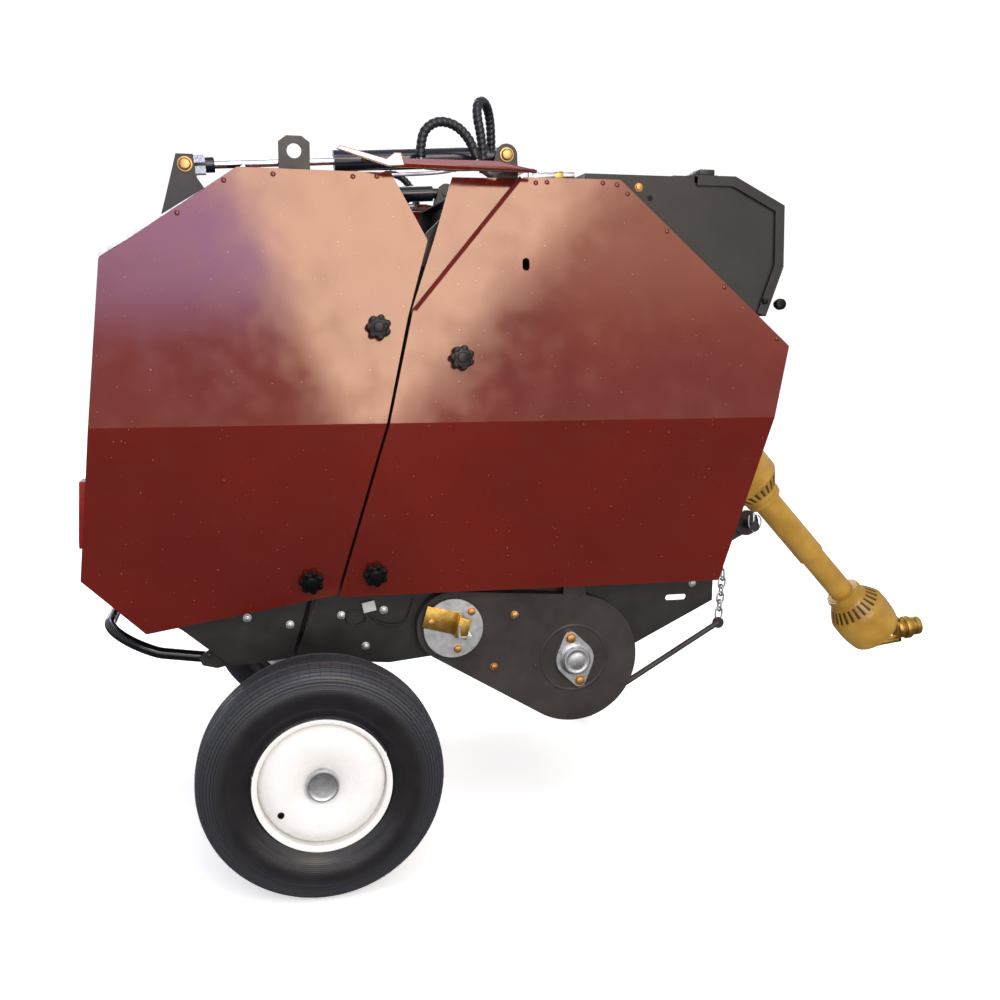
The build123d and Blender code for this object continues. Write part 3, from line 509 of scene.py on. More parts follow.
# %% Rods, blocks, hulls and turned shapes
def aim(base, tip):
    """A matrix whose +Z runs from base towards tip, with its origin at base."""
    base = Vector(base)
    turned_to = (Vector(tip) - base).to_track_quat("Z", "Y").to_matrix().to_4x4()
    return Matrix.Translation(base) @ turned_to


def round_edges(shape, verts, width, segments=2, least=0.6):
    """Bevel the sharp edges round some new vertices."""
    edges = {edge for vert in verts for edge in vert.link_edges}
    sharp = [e for e in edges if len(e.link_faces) == 2 and e.calc_face_angle(0) > least]
    bmesh.ops.bevel(
        shape, geom=sharp, offset=width, segments=segments, profile=0.5, affect="EDGES", material=-1)


def rod(shape, base, tip, radius, tip_radius=None, segments=32, edge=0.0):
    """A round bar or cone from base to tip."""
    length = (Vector(tip) - Vector(base)).length
    made = bmesh.ops.create_cone(
        shape, cap_ends=True, segments=segments, radius1=radius, depth=length,
        radius2=radius if tip_radius is None else tip_radius,
        matrix=aim(base, tip) @ Matrix.Translation((0, 0, length / 2)))
    if edge:
        round_edges(shape, made["verts"], edge)


def block(shape, low, high, edge=0.8, turned_by=None):
    """A block between two corners, turned about the axle's origin by a matrix if given."""
    low, high = Vector(low), Vector(high)
    matrix = Matrix.Translation((low + high) / 2) @ Matrix.Diagonal((*(high - low), 1))
    made = bmesh.ops.create_cube(shape, size=1, matrix=(turned_by or Matrix()) @ matrix)
    if edge:
        round_edges(shape, made["verts"], edge)


def hull(shape, points):
    """The smallest solid round some corners."""
    verts = [shape.verts.new(point) for point in points]
    bmesh.ops.convex_hull(shape, input=verts)


def turned(shape, profile, base, tip, steps=64):
    """A profile of (distance, radius) pairs spun about the line from base to tip."""
    matrix = aim(base, tip)
    verts = [shape.verts.new(matrix @ Vector((radius, 0, along))) for along, radius in profile]
    edges = [shape.edges.new(pair) for pair in zip(verts, verts[1:])]
    bmesh.ops.spin(
        shape, geom=verts + edges, cent=matrix.translation, axis=matrix.col[2].to_3d(),
        angle=2 * math.pi, steps=steps, use_merge=True)
    bmesh.ops.remove_doubles(shape, verts=shape.verts, dist=0.001)


print("shape helpers ready")

# %% [markdown]
# ## Wheels
# A ribbed implement tyre is one section spun round the axle: five ribs with four grooves, a
# squarish shoulder with thin steps, a full sidewall and a bead. The little rubber hairs left by
# the mould's vents stand on the shoulders. They are placed with a seeded random generator, so
# every render has the same ones.

# %% Tyres
WHEEL_MIDDLE = 575
TREAD = [   # distance out from the wheel's middle, radius
    (0, 249.6), (7.5, 249.5), (8.5, 244.5), (12.5, 244.5), (13.5, 249.3), (26, 248.8), (27, 243.8),
    (31, 243.6), (32, 248.2), (41, 246), (46, 243.4), (49, 241.8), (50, 240), (54, 237.6), (55, 235.4),
    (58.5, 232.6), (59.5, 230), (61.8, 227), (62, 224.6), (63.8, 221), (63.6, 218.5), (65, 214),
    (66.6, 204), (67, 196), (66.2, 184), (64, 174), (61, 167), (60.4, 164.5), (57, 160), (53, 153),
    (51, 147), (49.5, 143), (45, 140),
]
HAIR_COUNT, HAIR_RADIUS, HAIR_SEED = 90, 0.45, 11
HAIR_PLACES = [(52, 239), (44, 244.6), (63, 222), (-52, 239), (20, 249)]    # as in the tread


def wheel_axis(out):
    """A wheel's middle, and a point farther out on its axle."""
    middle = Vector((0, out * WHEEL_MIDDLE, AXLE_HEIGHT))
    return middle, middle + LEFTWARDS * out


def vent_hairs(shape, middle, out):
    """The hairs on both shoulders, each leaning its own way."""
    rng = random.Random(HAIR_SEED)
    for _ in range(HAIR_COUNT):
        angle = rng.uniform(0, 2 * math.pi)
        y, radius = rng.choice(HAIR_PLACES)
        ray = Vector((math.cos(angle), 0, math.sin(angle)))
        foot = middle + ray * (radius - 1) + Vector((0, out * y, 0))
        lean = ray + Vector((rng.uniform(-0.5, 0.5), out * y / 130, rng.uniform(-0.5, 0.5)))
        tip = foot + lean.normalized() * rng.uniform(3, 5.5)
        rod(shape, foot, tip, HAIR_RADIUS, 0.25, segments=5)


section = [(-y, r) for y, r in TREAD[:0:-1]] + TREAD
for shape, out in each_side("tyre_*_tread", rubber, "wheel_*", "tyre_rubber", 50, "tyre_*"):
    turned(shape, [*section, section[0]], *wheel_axis(out), 144)
    vent_hairs(shape, wheel_axis(out)[0], out)

# %% [markdown]
# The rim is a pressed disc welded into a rolled rim, all in white enamel, so it is one thin
# spun section: flange, bead seat, the dish that swells towards the viewer and the hub's hole.
# The zinc hub cap has a rolled lip and a shallow pan, and a rubber valve stem leans from the
# dish with its black cap.

# %% Rims, hubs and valves
RIM_FRONT = [   # distance out from the wheel's middle, radius, as in the next two
    (33, 31), (39, 31), (46, 40), (56, 60), (62, 90), (59, 108), (47, 121), (36, 126), (30, 128),
    (36, 129.5), (50, 130), (54, 134), (56.5, 139), (57, 139.5), (57.5, 138), (56, 132), (52, 128.6),
]
RIM_BACK = [
    (51, 133), (-51, 133), (-56, 139), (-57, 138), (-53, 128), (19, 128), (38, 122), (50, 108),
    (53, 90), (47, 62), (37, 45), (32, 31), (33, 31),
]
HUB = [
    (-48, 17.7), (-48, 30), (16, 30), (18, 52), (22, 52), (23, 32), (46, 32), (52, 33.4), (57, 33.4),
    (58.6, 32), (58.8, 29.5), (57.6, 27.5), (56.6, 24), (56.4, 0),
]
# The valve's foot as (x, distance out, z), and the direction of its stem.
VALVE_FOOT, VALVE_LEAN = (-78, WHEEL_MIDDLE + 46, 202), (-0.35, 1, -0.2)

for shape, out in each_side("rim_*_disc", white, "wheel_*", "white_paint", 40, "rim_*"):
    turned(shape, [*RIM_FRONT, *RIM_BACK], *wheel_axis(out), 96)
for shape, out in each_side("hub_*_cap", zinc, "wheel_*", "zinc", 30, "hub_*"):
    turned(shape, HUB, *wheel_axis(out), 64)
for shape, out in each_side("valve_*", knob_black, "wheel_*", "hose_rubber"):
    foot, lean = (Vector((x, out * y, z)) for x, y, z in (VALVE_FOOT, VALVE_LEAN))
    lean.normalize()
    rod(shape, foot, foot + lean * 6, 9, 7, segments=20, edge=0.8)
    rod(shape, foot, foot + lean * 13, 5.5, 4.6, segments=16)
    rod(shape, foot + lean * 11, foot + lean * 20, 7, 6.4, segments=16, edge=1)

# %% [markdown]
# ## Fasteners on the covers
# The covers are held shut by black star knobs, one on the upper facet and one on the lower.
# Round rivet heads, painted over with the cover's own enamel, run along the top edges and the
# long slanted front edge. A facet's depth and lean at any height follow from the cover's folds.

# %% Knobs and rivets on the four covers
TOP_Z, TOP_OUT = 1463, 430
FOLD_Z, FOLD_OUT = 960, 500
LOW_Z, LOW_OUT = 500, 423
UPPER_LEAN = (FOLD_OUT - TOP_OUT) / (TOP_Z - FOLD_Z)
LOWER_LEAN = (FOLD_OUT - LOW_OUT) / (FOLD_Z - LOW_Z)
# Knobs and rivets are placed by (x, z), and the cover gives the third distance.
KNOBS = {"rear_cover": [(139, 1151), (-5, 628)], "front_cover": [(308, 1090), (129, 637)]}
RIVETS = {
    "rear_cover": [(97, 1450), (145, 1452), (-245, 1370), (-155, 1435), (-60, 1450)],
    "front_cover": [
        (475, 1449), (499, 1451), (621, 1453), (652, 1450), (675, 1432), (762, 1356), (891, 1240),
        (1012, 1130)],
}


def cover_out(z):
    """How far out from the centre plane a cover's skin stands at a height."""
    return FOLD_OUT - (UPPER_LEAN * (z - FOLD_Z) if z > FOLD_Z else LOWER_LEAN * (FOLD_Z - z))


def facing(out, z):
    """The direction that a cover's skin faces at a height."""
    return Vector((0, out, UPPER_LEAN if z > FOLD_Z else -LOWER_LEAN)).normalized()


def star_knob(shape, place, out, lobes=7):
    """A star-shaped clamping knob: a boss, a disc and round lobes about it."""
    place = Vector(place)
    rod(shape, place, place + out * 9, 11, segments=24)
    rod(shape, place + out * 7, place + out * 20, 22.5, 20.5, segments=40, edge=2.0)
    rod(shape, place + out * 19, place + out * 21.2, 12, 10, segments=24, edge=1.0)
    matrix = aim(place, place + out)
    for lobe in range(lobes):
        angle = 2 * math.pi * lobe / lobes + 0.4
        middle = matrix @ Vector((18.8 * math.cos(angle), 18.8 * math.sin(angle), 6.5))
        rod(shape, middle, middle + out * 13.5, 7.6, 7.0, segments=20, edge=2.0)


def dome(shape, place, out, radius, height):
    """A low round head, such as a rivet's or a coach bolt's."""
    profile = [(0, radius), (height * 0.5, radius * 0.86), (height * 0.85, radius * 0.5), (height, 0)]
    place = Vector(place)
    turned(shape, profile, place, place + Vector(out), 16)


for cover, places in KNOBS.items():
    for shape, out in each_side(f"{cover}_knobs_*", knob_black, f"{cover}_*", "hose_rubber"):
        for x, z in places:
            star_knob(shape, (x, out * cover_out(z), z), facing(out, z))
for cover, places in RIVETS.items():
    for shape, out in each_side(f"{cover}_rivets_*", wine, f"{cover}_*", "red_paint"):
        for x, z in places:
            dome(shape, (x, out * (cover_out(z) - 0.3), z), facing(out, z), 5.5, 2.6)

# %% [markdown]
# Painted stiffening strips run inside each cover, where they show only when the cover is
# opened. They keep clear of the chains behind, so each is a shallow block behind the skin.

# %% Inner stiffeners of the covers
STIFFENERS = {      # rear end, front end and height
    "rear_cover": [(-380, 140, 1180), (-400, 70, 720)],
    "front_cover": [(290, 930, 1180), (130, 920, 720)],
}
for cover, runs in STIFFENERS.items():
    for shape, out in each_side(f"{cover}_stiffeners_*", wine, f"{cover}_*", "red_paint"):
        for rear, front, z in runs:
            low, high = spread(out, cover_out(z) - 22, cover_out(z) - 2)
            block(shape, (rear, low, z), (front, high, z + 3), 0.4)

# %% [markdown]
# ## Pick-up side
# The pear-shaped chain case carries a two-bolt bearing with a bright cap, a ring pressed into
# its sheet and a few copper-toned bolts. The cap is turned, with a rolled rim and a shallow
# centre, much like the cap on a wheel hub. A bolt is a washer and a short six-sided rod.

# %% Bearings, bolts and the ring on the chain cases
REEL_X, REEL_Z = 585, 406
CASE_OUT = 398
# The ring and the cap are (distance out, radius), the rivets and bolts are placed by (x, z).
PRESSED_RING = [(-0.5, 71), (1.2, 73), (1.6, 76), (1.2, 79), (-0.5, 81)]
BEARING_CAP = [
    (-12, 35), (-8, 35), (-6, 32), (2, 32), (5.5, 29), (6, 26), (4.6, 23), (4.2, 19), (5.4, 16), (5.6, 0)]
CASE_RIVETS = [(495, 393), (560, 556), (600, 552)]
CASE_BOLTS = [(445, 516), (398, 398)]
BEARING_BOLTS = [(574, 456), (597, 355)]


def hex_bolt(shape, place, out, across=17.0, washer=11.0, stud=0.0):
    """A washer and a hexagon head standing out of a face, with a bare stud end if asked."""
    place, out = Vector(place), Vector(out)
    rod(shape, place, place + out * 1.6, washer, segments=24)
    rod(shape, place + out * 1.6, place + out * 8, across / math.sqrt(3), segments=6, edge=0.7)
    if stud:
        rod(shape, place + out * 8, place + out * (8 + stud), across * 0.29, segments=16, edge=0.5)


for shape, out in each_side("case_ring_*", case_black, "pickup", "black_paint"):
    face = Vector((REEL_X, out * CASE_OUT, REEL_Z))
    turned(shape, PRESSED_RING, face, face + LEFTWARDS * out, 72)
    for x, z in CASE_RIVETS:
        dome(shape, (x, out * CASE_OUT, z), LEFTWARDS * out, 4, 2)
for shape, out in each_side("case_bearing_trim_*", zinc, "pickup", "zinc"):
    face = Vector((REEL_X, out * CASE_OUT, REEL_Z))
    cap = face + LEFTWARDS * out * 22
    turned(shape, BEARING_CAP, cap, cap + LEFTWARDS * out, 48)
    nipple, nipple_tip = (face + Vector((x, out * y, z)) for x, y, z in ((-28, 8, 14), (-36, 18, 20)))
    rod(shape, nipple, nipple_tip, 3, 2.2, segments=10)
for shape, out in each_side("case_bolts_*", copper_bolt, "pickup", "yellow_zinc"):
    for x, z in CASE_BOLTS:
        hex_bolt(shape, (x, out * CASE_OUT, z), LEFTWARDS * out, 13, 9)
    for x, z in BEARING_BOLTS:
        hex_bolt(shape, (x, out * (CASE_OUT + 10), z), LEFTWARDS * out, 17, 12)

# %% [markdown]
# The pivot disc is drilled for three bolts, and a yellow bracket folded like a Z stands out of
# it to hold the lifting handle. It is cut from one strip with two folds, so it is drawn as
# three thin blocks that meet at the folds.

# %% Pivot discs' bolts and brackets
DISC_OUT = 410
DISC_BOLTS = [(254, 513), (344, 532), (313, 448)]   # x, z
BRACKET_FACES = [   # low and high corners of the three blocks, turned about the bracket's foot
    ((-40, 410, -24), (34, 413, 26)), ((31, 410, -24), (34, 438, 26)), ((31, 436, -24), (58, 439, 22))]
bracket_turn = Matrix.Translation((278, 0, 514)) @ Matrix.Rotation(math.radians(15), 4, "Y")

for shape, out in each_side("pivot_bolts_*", copper_bolt, "chassis", "yellow_zinc"):
    for x, z in DISC_BOLTS:
        hex_bolt(shape, (x, out * DISC_OUT, z), LEFTWARDS * out, 14, 9)
for shape, out in each_side("pivot_bracket_*", yellow_zinc, "chassis", "yellow_zinc"):
    for (x0, y0, z0), (x1, y1, z1) in BRACKET_FACES:
        low, high = spread(out, y0, y1)
        block(shape, (x0, low, z0), (x1, high, z1), 0.6, bracket_turn)

# %% [markdown]
# ## Lift chains
# Each pick-up arm hangs on a short welded chain. A link is a round wire bent into a long loop,
# and every second link is turned a quarter.

# %% Lift chains
CHAIN_TOP, CHAIN_LOW = (948, 385, 590), (941, 385, 480)     # x, distance out, z
LINK_COUNT, LINK_WIRE = 6, 2.2
LINK_HALF_LENGTH, LINK_HALF_WIDTH = 13.5, 8
# A link's control points, as shares of its half length and half width.
OVAL = [(1, 0.55), (1, -0.55), (0.55, -1), (-0.55, -1), (-1, -0.55), (-1, 0.55), (-0.55, 1), (0.55, 1)]


def wire(shape, points, radius, closed=False):
    """A round wire along a NURBS route."""
    route = route_curve(points, radius, closed)
    shape.from_mesh(bpy.data.meshes.new_from_object(route))


for shape, out in each_side("lift_chain_*", zinc, "chassis", "zinc"):
    top, low = (Vector((x, out * y, z)) for x, y, z in (CHAIN_TOP, CHAIN_LOW))
    along = (low - top).normalized()
    side = along.cross(LEFTWARDS).normalized()
    for index in range(LINK_COUNT):
        middle = top.lerp(low, (index + 0.5) / LINK_COUNT)
        length, width = along * LINK_HALF_LENGTH, (side if index % 2 else LEFTWARDS) * LINK_HALF_WIDTH
        wire(shape, [middle + length * a + width * b for a, b in OVAL], LINK_WIRE, closed=True)

for side_name in SIDES:
    chain = bpy.data.objects[f"lift_chain_{side_name}"]
    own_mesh(chain)
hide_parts("lift_chains")

# %% [markdown]
# ## Lower side plates
# The plates below the covers hold zinc bolts where the bottom roller and the axle legs are
# fixed, a blank printed tag on a wire ring, and a bent wire that props it. A bolted clamp holds
# each end of the ramp hoop: a flat outline pulled into a thin solid.

# %% Bolts, clamps, tag and wires on the lower side plates
PLATE_OUT = 366
PLATE_BOLTS = {     # the body, and (x, z) of each bolt
    "plate": ("chassis", [(62, 527), (155, 534), (114, 454), (700, 640), (880, 560)]),
    "gate": ("tailgate", [(-139, 532), (-49, 512), (-300, 574)]),
}
# The clamp's outline is in (x, z), the two wires' routes are in (x, y, z).
HOOP_CLAMP = [(-244, 446), (-214, 468), (-168, 447), (-160, 430), (-206, 420), (-236, 428)]
CLAMP_BACK, CLAMP_FRONT = 352, 357
TAG_RING = [
    (92, -372, 541), (112, -374, 530), (116, -374, 512), (92, -372, 501), (72, -371, 508), (70, -371, 532)]
TAG_PROP = [
    (116, -369, 541), (126, -374, 522), (150, -378, 503), (190, -378, 499), (212, -376, 520),
    (221, -370, 557)]


def thicken(shape, face, shift):
    """Pull a flat face into a solid, and return its new corners."""
    grown = bmesh.ops.extrude_face_region(shape, geom=[face], use_keep_orig=True)["geom"]
    far = [item for item in grown if isinstance(item, bmesh.types.BMVert)]
    bmesh.ops.translate(shape, verts=far, vec=shift)
    return far


def plate(shape, outline, y0, y1, edge=0.0):
    """A flat plate with an outline of (x, z) corners, between y0 and y1."""
    corners = [shape.verts.new((x, y0, z)) for x, z in outline]
    far = thicken(shape, shape.faces.new(corners), (0, y1 - y0, 0))
    if edge:
        round_edges(shape, corners + far, edge, 1)


for name, (body, places) in PLATE_BOLTS.items():
    for shape, out in each_side(f"{name}_bolts_*", zinc, body, "zinc"):
        for x, z in places:
            hex_bolt(shape, (x, out * PLATE_OUT, z), LEFTWARDS * out, 13, 9, 3)
for shape, out in each_side("hoop_clamp_*", black, "tailgate", "black_paint"):
    plate(shape, HOOP_CLAMP, *spread(out, CLAMP_BACK, CLAMP_FRONT), 0.5)
    for x, z in ((-222, 451), (-190, 440)):
        hex_bolt(shape, (x, out * CLAMP_FRONT, z), LEFTWARDS * out, 10, 7)
with piece("tag_wires", wire_black, "chassis", "hose_rubber") as shape:
    wire(shape, TAG_RING, 1.3, closed=True)
    wire(shape, TAG_PROP, 2.0)
with piece("blank_tag", tag_white, "chassis", "white_paint") as shape:
    tag_turn = Matrix.Translation((122, 0, 545)) @ Matrix.Rotation(math.radians(-12), 4, "Y")
    block(shape, (-14, -378, -11), (14, -377, 12), 0.3, tag_turn)

# %% [markdown]
# ## Tailgate seams and sheet edges
# The tailgate's sheet is edged with bright zinc strips along its top and slanted folds, a painted
# highlight on the folded edges, and a thin flange closes the seam between the halves. Sheet-metal
# screws hold the roof.

# %% Highlight strips on the edges, seam flange, roof screws and sheet rivets
# Outlines in (x, z), pulled sideways between two distances out.
GATE_TOP_EDGE = [(-112, 1456), (-108, 1462), (160, 1462), (166, 1456)]
GATE_SLANT_EDGE = [(-398, 1287), (-401, 1292), (-114, 1471), (-112, 1462)]
GATE_SEAM = [(10, 575), (16, 573), (-28, 446), (-36, 446)]
ROOF_STRIP = [(470, 1453), (470, 1456), (586, 1456), (586, 1453)]
SHEET_RIVETS = [    # x, z and the way that the sheet faces there
    (-40, 1455.3, (0, 0, 1)), (-418, 1100, (-0.99, 0, 0.1)), (-435, 900, (-1, 0, 0.05))]

# Bright zinc strips on the top and slanted edges: a painted highlight along the folds.
for shape, out in each_side("gate_edge_*", zinc, "tailgate", "zinc"):
    for outline in (GATE_TOP_EDGE, GATE_SLANT_EDGE):
        plate(shape, outline, *spread(out, 404, 409))
for shape, out in each_side("gate_seam_*", black, "tailgate", "black_paint"):
    plate(shape, GATE_SEAM, *spread(out, 366, 372))
for shape, out in each_side("roof_strip_*", zinc, "chassis", "zinc"):
    plate(shape, ROOF_STRIP, *spread(out, 362, 380))
    for x in (490, 530, 570):
        hex_bolt(shape, (x, out * 371, 1456), (0, 0, 1), 8, 6)
with piece("gate_sheet_rivets", wine, "tailgate", "red_paint") as shape:
    for y in range(-330, 331, 110):
        for x, z, direction in SHEET_RIVETS:
            dome(shape, (x, y, z), direction, 5, 2.4)

# %% [markdown]
# ## Skirts over the hinges
# Each skirt is folded along its length, so its upper half tips up and mirrors the sky while its
# lower half tips down and is dark, with a black bar of painted shade along its lower edge. It is the
# hull of two outlines: one flat on the imported skirt, one ridge.
# Its pointer is faced with zinc. Along the front cover's stepped corner runs a dull, darker red slanted
# strip: painted shade in its crease.

# %% Folded skirts with painted shade bars, pointers, and painted crease shade in the front cover
# Outlines and lines in (x, z).
SKIRT_OUT, RIDGE_OUT = 468, 472
SKIRT = [(171, 1466.5), (186, 1484), (384, 1485), (410, 1476), (462, 1471), (460, 1466.5)]
RIDGE = [(178, 1474), (395, 1474.5), (455, 1469)]
POINTER = [(64, 1498), (70, 1502), (160, 1480), (177, 1492), (188, 1492), (194, 1471), (165, 1469)]
CREASE_SHADE_LINE = [(215, 1187), (444, 1459)]
CREASE_SHADE_HALF_WIDTH = Vector((3.1, -2.6))

for shape, out in each_side("skirt_fold_*", wine, "chassis", "red_paint", 5):
    hull(shape, [(x, out * SKIRT_OUT, z) for x, z in SKIRT] + [(x, out * RIDGE_OUT, z) for x, z in RIDGE])
# A black bar along each skirt's lower edge: painted shade, where the skirt's under-face is in shadow.
for shape, out in each_side("skirt_edge_*", black, "chassis", "black_paint"):
    low, high = spread(out, 462, 469)
    block(shape, (330, low, 1464.5), (468, high, 1470.5), 1)
for shape, out in each_side("pointer_face_*", zinc, "chassis", "zinc"):
    plate(shape, POINTER, *spread(out, 473, 474.5), 0.4)
# A darker red strip along the front cover's crease: painted shade.
for shape, out in each_side("cover_step_*", crease_shade_wine, "front_cover_*", "red_paint"):
    strip = [Vector(end) + CREASE_SHADE_HALF_WIDTH * side for end in CREASE_SHADE_LINE for side in (-1, 1)]
    hull(shape, [(x, out * (cover_out(z) + depth), z) for x, z in strip for depth in (-4, 0.4)])

# %% [markdown]
# ## Net box
# The lid closes with a knob low on each side and hangs on small strap hinges. A bolt and a
# plugged hole are in the cheek behind it. Each hinge is two leaves and the knuckle on the lid's
# own axis, so nothing scrapes when the lid opens.

# %% Net box bolts, knobs and hinges
HINGE_NEAR, HINGE_FAR = 300, 372
HINGE_AXIS = (848, 1481)    # x, z

for shape, out in each_side("net_box_bolt_*", copper_bolt, "chassis", "yellow_zinc"):
    hex_bolt(shape, (717, out * 383, 1452), LEFTWARDS * out, 13, 9)
for shape, out in each_side("net_box_plug_*", knob_black, "chassis", "hose_rubber"):
    rod(shape, (744, out * 383, 1430), (744, out * 384, 1430), 6, segments=24)
for shape, out in each_side("lid_knob_*", knob_black, "lid", "hose_rubber"):
    rod(shape, (1051, out * 388, 1205), (1051, out * 400, 1205), 9, segments=24, edge=1)
    rod(shape, (1051, out * 398, 1205), (1051, out * 414, 1205), 13, 12, segments=28, edge=2.5)
    hex_bolt(shape, (1020, out * 391, 1211), LEFTWARDS * out, 10, 7)
for shape, out in each_side("lid_hinge_leaf_*", black, "lid", "black_paint"):
    low, high = spread(out, HINGE_NEAR, HINGE_FAR)
    block(shape, (855, low, 1481), (905, high, 1484), 0.5)
    block(shape, (864, low + 6, 1484), (900, high - 6, 1497), 2.5)
    ends = [(HINGE_AXIS[0], y, HINGE_AXIS[1]) for y in (low, high)]
    rod(shape, *ends, 6, segments=20, edge=0.5)
    for x in (868, 892):
        dome(shape, (x, out * 336, 1484), (0, 0, 1), 5, 3)
for shape, out in each_side("box_hinge_leaf_*", black, "chassis", "black_paint"):
    low, high = spread(out, HINGE_NEAR, HINGE_FAR)
    block(shape, (800, low, 1478), (841, high, 1481), 0.5)

# %% [markdown]
# ## Hoses
# The wrap is a strip of plastic wound round the hose, so its outline is a row of rounded turns.
# One short half-circle profile is screwed along +X with `spin`, which moves each step forward as
# it turns. A Curve modifier then bends that straight screw along the route, and the result is
# kept as a plain mesh, so that it rides on a body like any piece.

# %% The spiral wrap, straight and then bent
WRAP_PITCH = 11.0
WRAP_STEPS = 20
WRAP_BUMP = [   # share of half a pitch, radius
    (-1, 8.3), (-0.8, 9.3), (-0.35, 10), (0.35, 10), (0.8, 9.3), (1, 8.3)]


def spiral_tube(length_mm):
    """A straight spiral-wrapped hose along +X, in metres."""
    shape = bmesh.new()
    half = WRAP_PITCH / 2
    verts = [shape.verts.new((half * share + half, 0, radius)) for share, radius in WRAP_BUMP]
    edges = [shape.edges.new(pair) for pair in zip(verts, verts[1:])]
    turns = int((length_mm - WRAP_PITCH) / WRAP_PITCH)
    steps = WRAP_STEPS * turns
    bmesh.ops.spin(
        shape, geom=verts + edges, cent=(0, 0, 0), axis=(1, 0, 0), angle=2 * math.pi * turns,
        steps=steps, dvec=(WRAP_PITCH * turns / steps, 0, 0), use_merge=False)
    rod(shape, (1, 0, 0), (length_mm - 1, 0, 0), 8.6, segments=24)
    bmesh.ops.subdivide_edges(
        shape, edges=[e for e in shape.edges if e.calc_length() > 50], cuts=60)
    bmesh.ops.remove_doubles(shape, verts=shape.verts, dist=0.01)
    bmesh.ops.recalc_face_normals(shape, faces=shape.faces)
    bmesh.ops.scale(shape, verts=shape.verts, vec=(0.001, 0.001, 0.001))
    return to_mesh(shape, "spiral")


def bent_along(name, mesh, points):
    """The mesh bent along a route by a Curve modifier, as a new plain mesh."""
    route = route_curve(points)
    straight = bpy.data.objects.new(name, mesh)
    for obj in (route, straight):
        bpy.context.collection.objects.link(obj)
    bend = straight.modifiers.new("bend", "CURVE")
    bend.object = route
    bend.deform_axis = "POS_X"
    bpy.context.view_layer.update()
    ready = straight.evaluated_get(bpy.context.evaluated_depsgraph_get())
    bent = bpy.data.meshes.new_from_object(ready)
    bpy.data.objects.remove(straight)
    bpy.data.objects.remove(route)
    return bent


print("a turn of wrap every", WRAP_PITCH, "mm, drawn in", WRAP_STEPS, "steps")

# %% [markdown]
# Each hose ends in crimped ferrules with a nut, which point along the hose's last stretch. The
# wrap is made as long as the hose's centre line, and the CAD solid that it replaces is hidden.
# It rides on its ram's barrel or on the frame as a stiff piece.

# %% The three hoses and their ferrules
# A ferrule's profile: distance past the hose's end, radius.
FERRULE = [(-5, 0), (-5, 10.2), (-4, 10.8), (2, 10.8), (4, 10), (2, 8.6), (14, 8.4), (14, 0)]
FERRULE_NUT = 10
HOSE_BODIES = {"ram_hose_right": "ram_right", "ram_hose_left": "ram_left", "frame_hose": "chassis"}

for name, body in HOSE_BODIES.items():
    line = centrelines[name]
    length = length_of(line)
    mesh = bent_along(name, spiral_tube(length * 1000), routes[name])
    mesh.shade_smooth()
    hose = show(f"{name}_wrap", mesh, hose_rubber)
    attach(hose, body)
    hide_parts(name)
    with piece(f"{name}_ferrules", blackened, body, "zinc") as shape:
        for end, inner in ((line[0], line[1]), (line[-1], line[-2])):
            end, inner = FROM_FRAME @ end, FROM_FRAME @ inner
            direction = (end - inner).normalized()
            turned(shape, FERRULE, end, end + direction, 32)
            rod(shape, end, end + direction * FERRULE_NUT, 10.5, segments=6, edge=0.6)

# %% [markdown]
# ## Ram ports and pipes
# Every hose ends at something real: the bent pipes that leave the barrel's port block, or a
# union on the roof. A thin steel pipe runs under the barrel back towards the rod end. The
# couplers ahead of the near ram are bright zinc with one brass body between them.

# %% Ram ports, pipes and couplers
HOSE_OUT = RAM_HOSE[0][1]
PORT_XS = (233, 348)
# The port's pipe is in (x, z), the return pipe's route is in (x, distance out, z).
PORT_PIPE = [(233, 1486), (234, 1477), (244, 1472), (337, 1472), (347, 1477), (348, 1486)]
RETURN_PIPE = [
    (95, 372, 1466), (130, 374, 1460), (200, 376, 1463), (290, 378, 1470), (322, 380, 1480),
    (330, 384, 1494)]

for shape, out in each_side("ram_ports_*", zinc, "ram_*", "zinc"):
    wire(shape, [(x, out * HOSE_OUT, z) for x, z in PORT_PIPE], 6)
    rod(shape, (303, out * 386, 1486), (303, out * HOSE_OUT, 1472), 8, segments=24, edge=1)
    for x in PORT_XS:
        rod(shape, (x, out * HOSE_OUT, 1482), (x, out * HOSE_OUT, 1495), 10, segments=6, edge=0.6)
for shape, out in each_side("ram_pipe_*", zinc, "ram_*", "zinc"):
    wire(shape, [(x, out * y, z) for x, y, z in RETURN_PIPE], 4)
for shape, out in each_side("ram_brass_*", brass, "ram_*", "yellow_zinc"):
    rod(shape, (125, out * 392, 1486), (125, out * 400, 1497), 7, segments=6, edge=0.5)

with piece("quick_couplers", zinc, "chassis", "zinc") as shape:
    rod(shape, (474, -380, 1466), (530, -380, 1470), 9, segments=24, edge=1)
    rod(shape, (480, -380, 1466), (494, -380, 1467), 12, segments=6, edge=0.8)
    rod(shape, (545, -380, 1471), (572, -380, 1472), 8, segments=24, edge=1)
    block(shape, (470, -392, 1453), (478, -368, 1477), 0.6)
    rod(shape, (367, -412, 1472), (367, -412, 1481), 10, segments=6, edge=0.6)
    rod(shape, (367, -412, 1473), (390, -390, 1465), 7, segments=20, edge=0.8)
    rod(shape, (402, -328, 1453), (402, -328, 1500), 9, segments=6, edge=0.6)
with piece("shuttle_valve", brass, "chassis", "yellow_zinc") as shape:
    rod(shape, (528, -380, 1470), (547, -380, 1471), 10, segments=6, edge=0.8)

# %% [markdown]
# ## Rod ends and pins
# A blue-black collar closes each rod's end, and copper-toned pins hold the rams' eyes. A pin's
# head is a thin washer with a smaller rounded head on it.

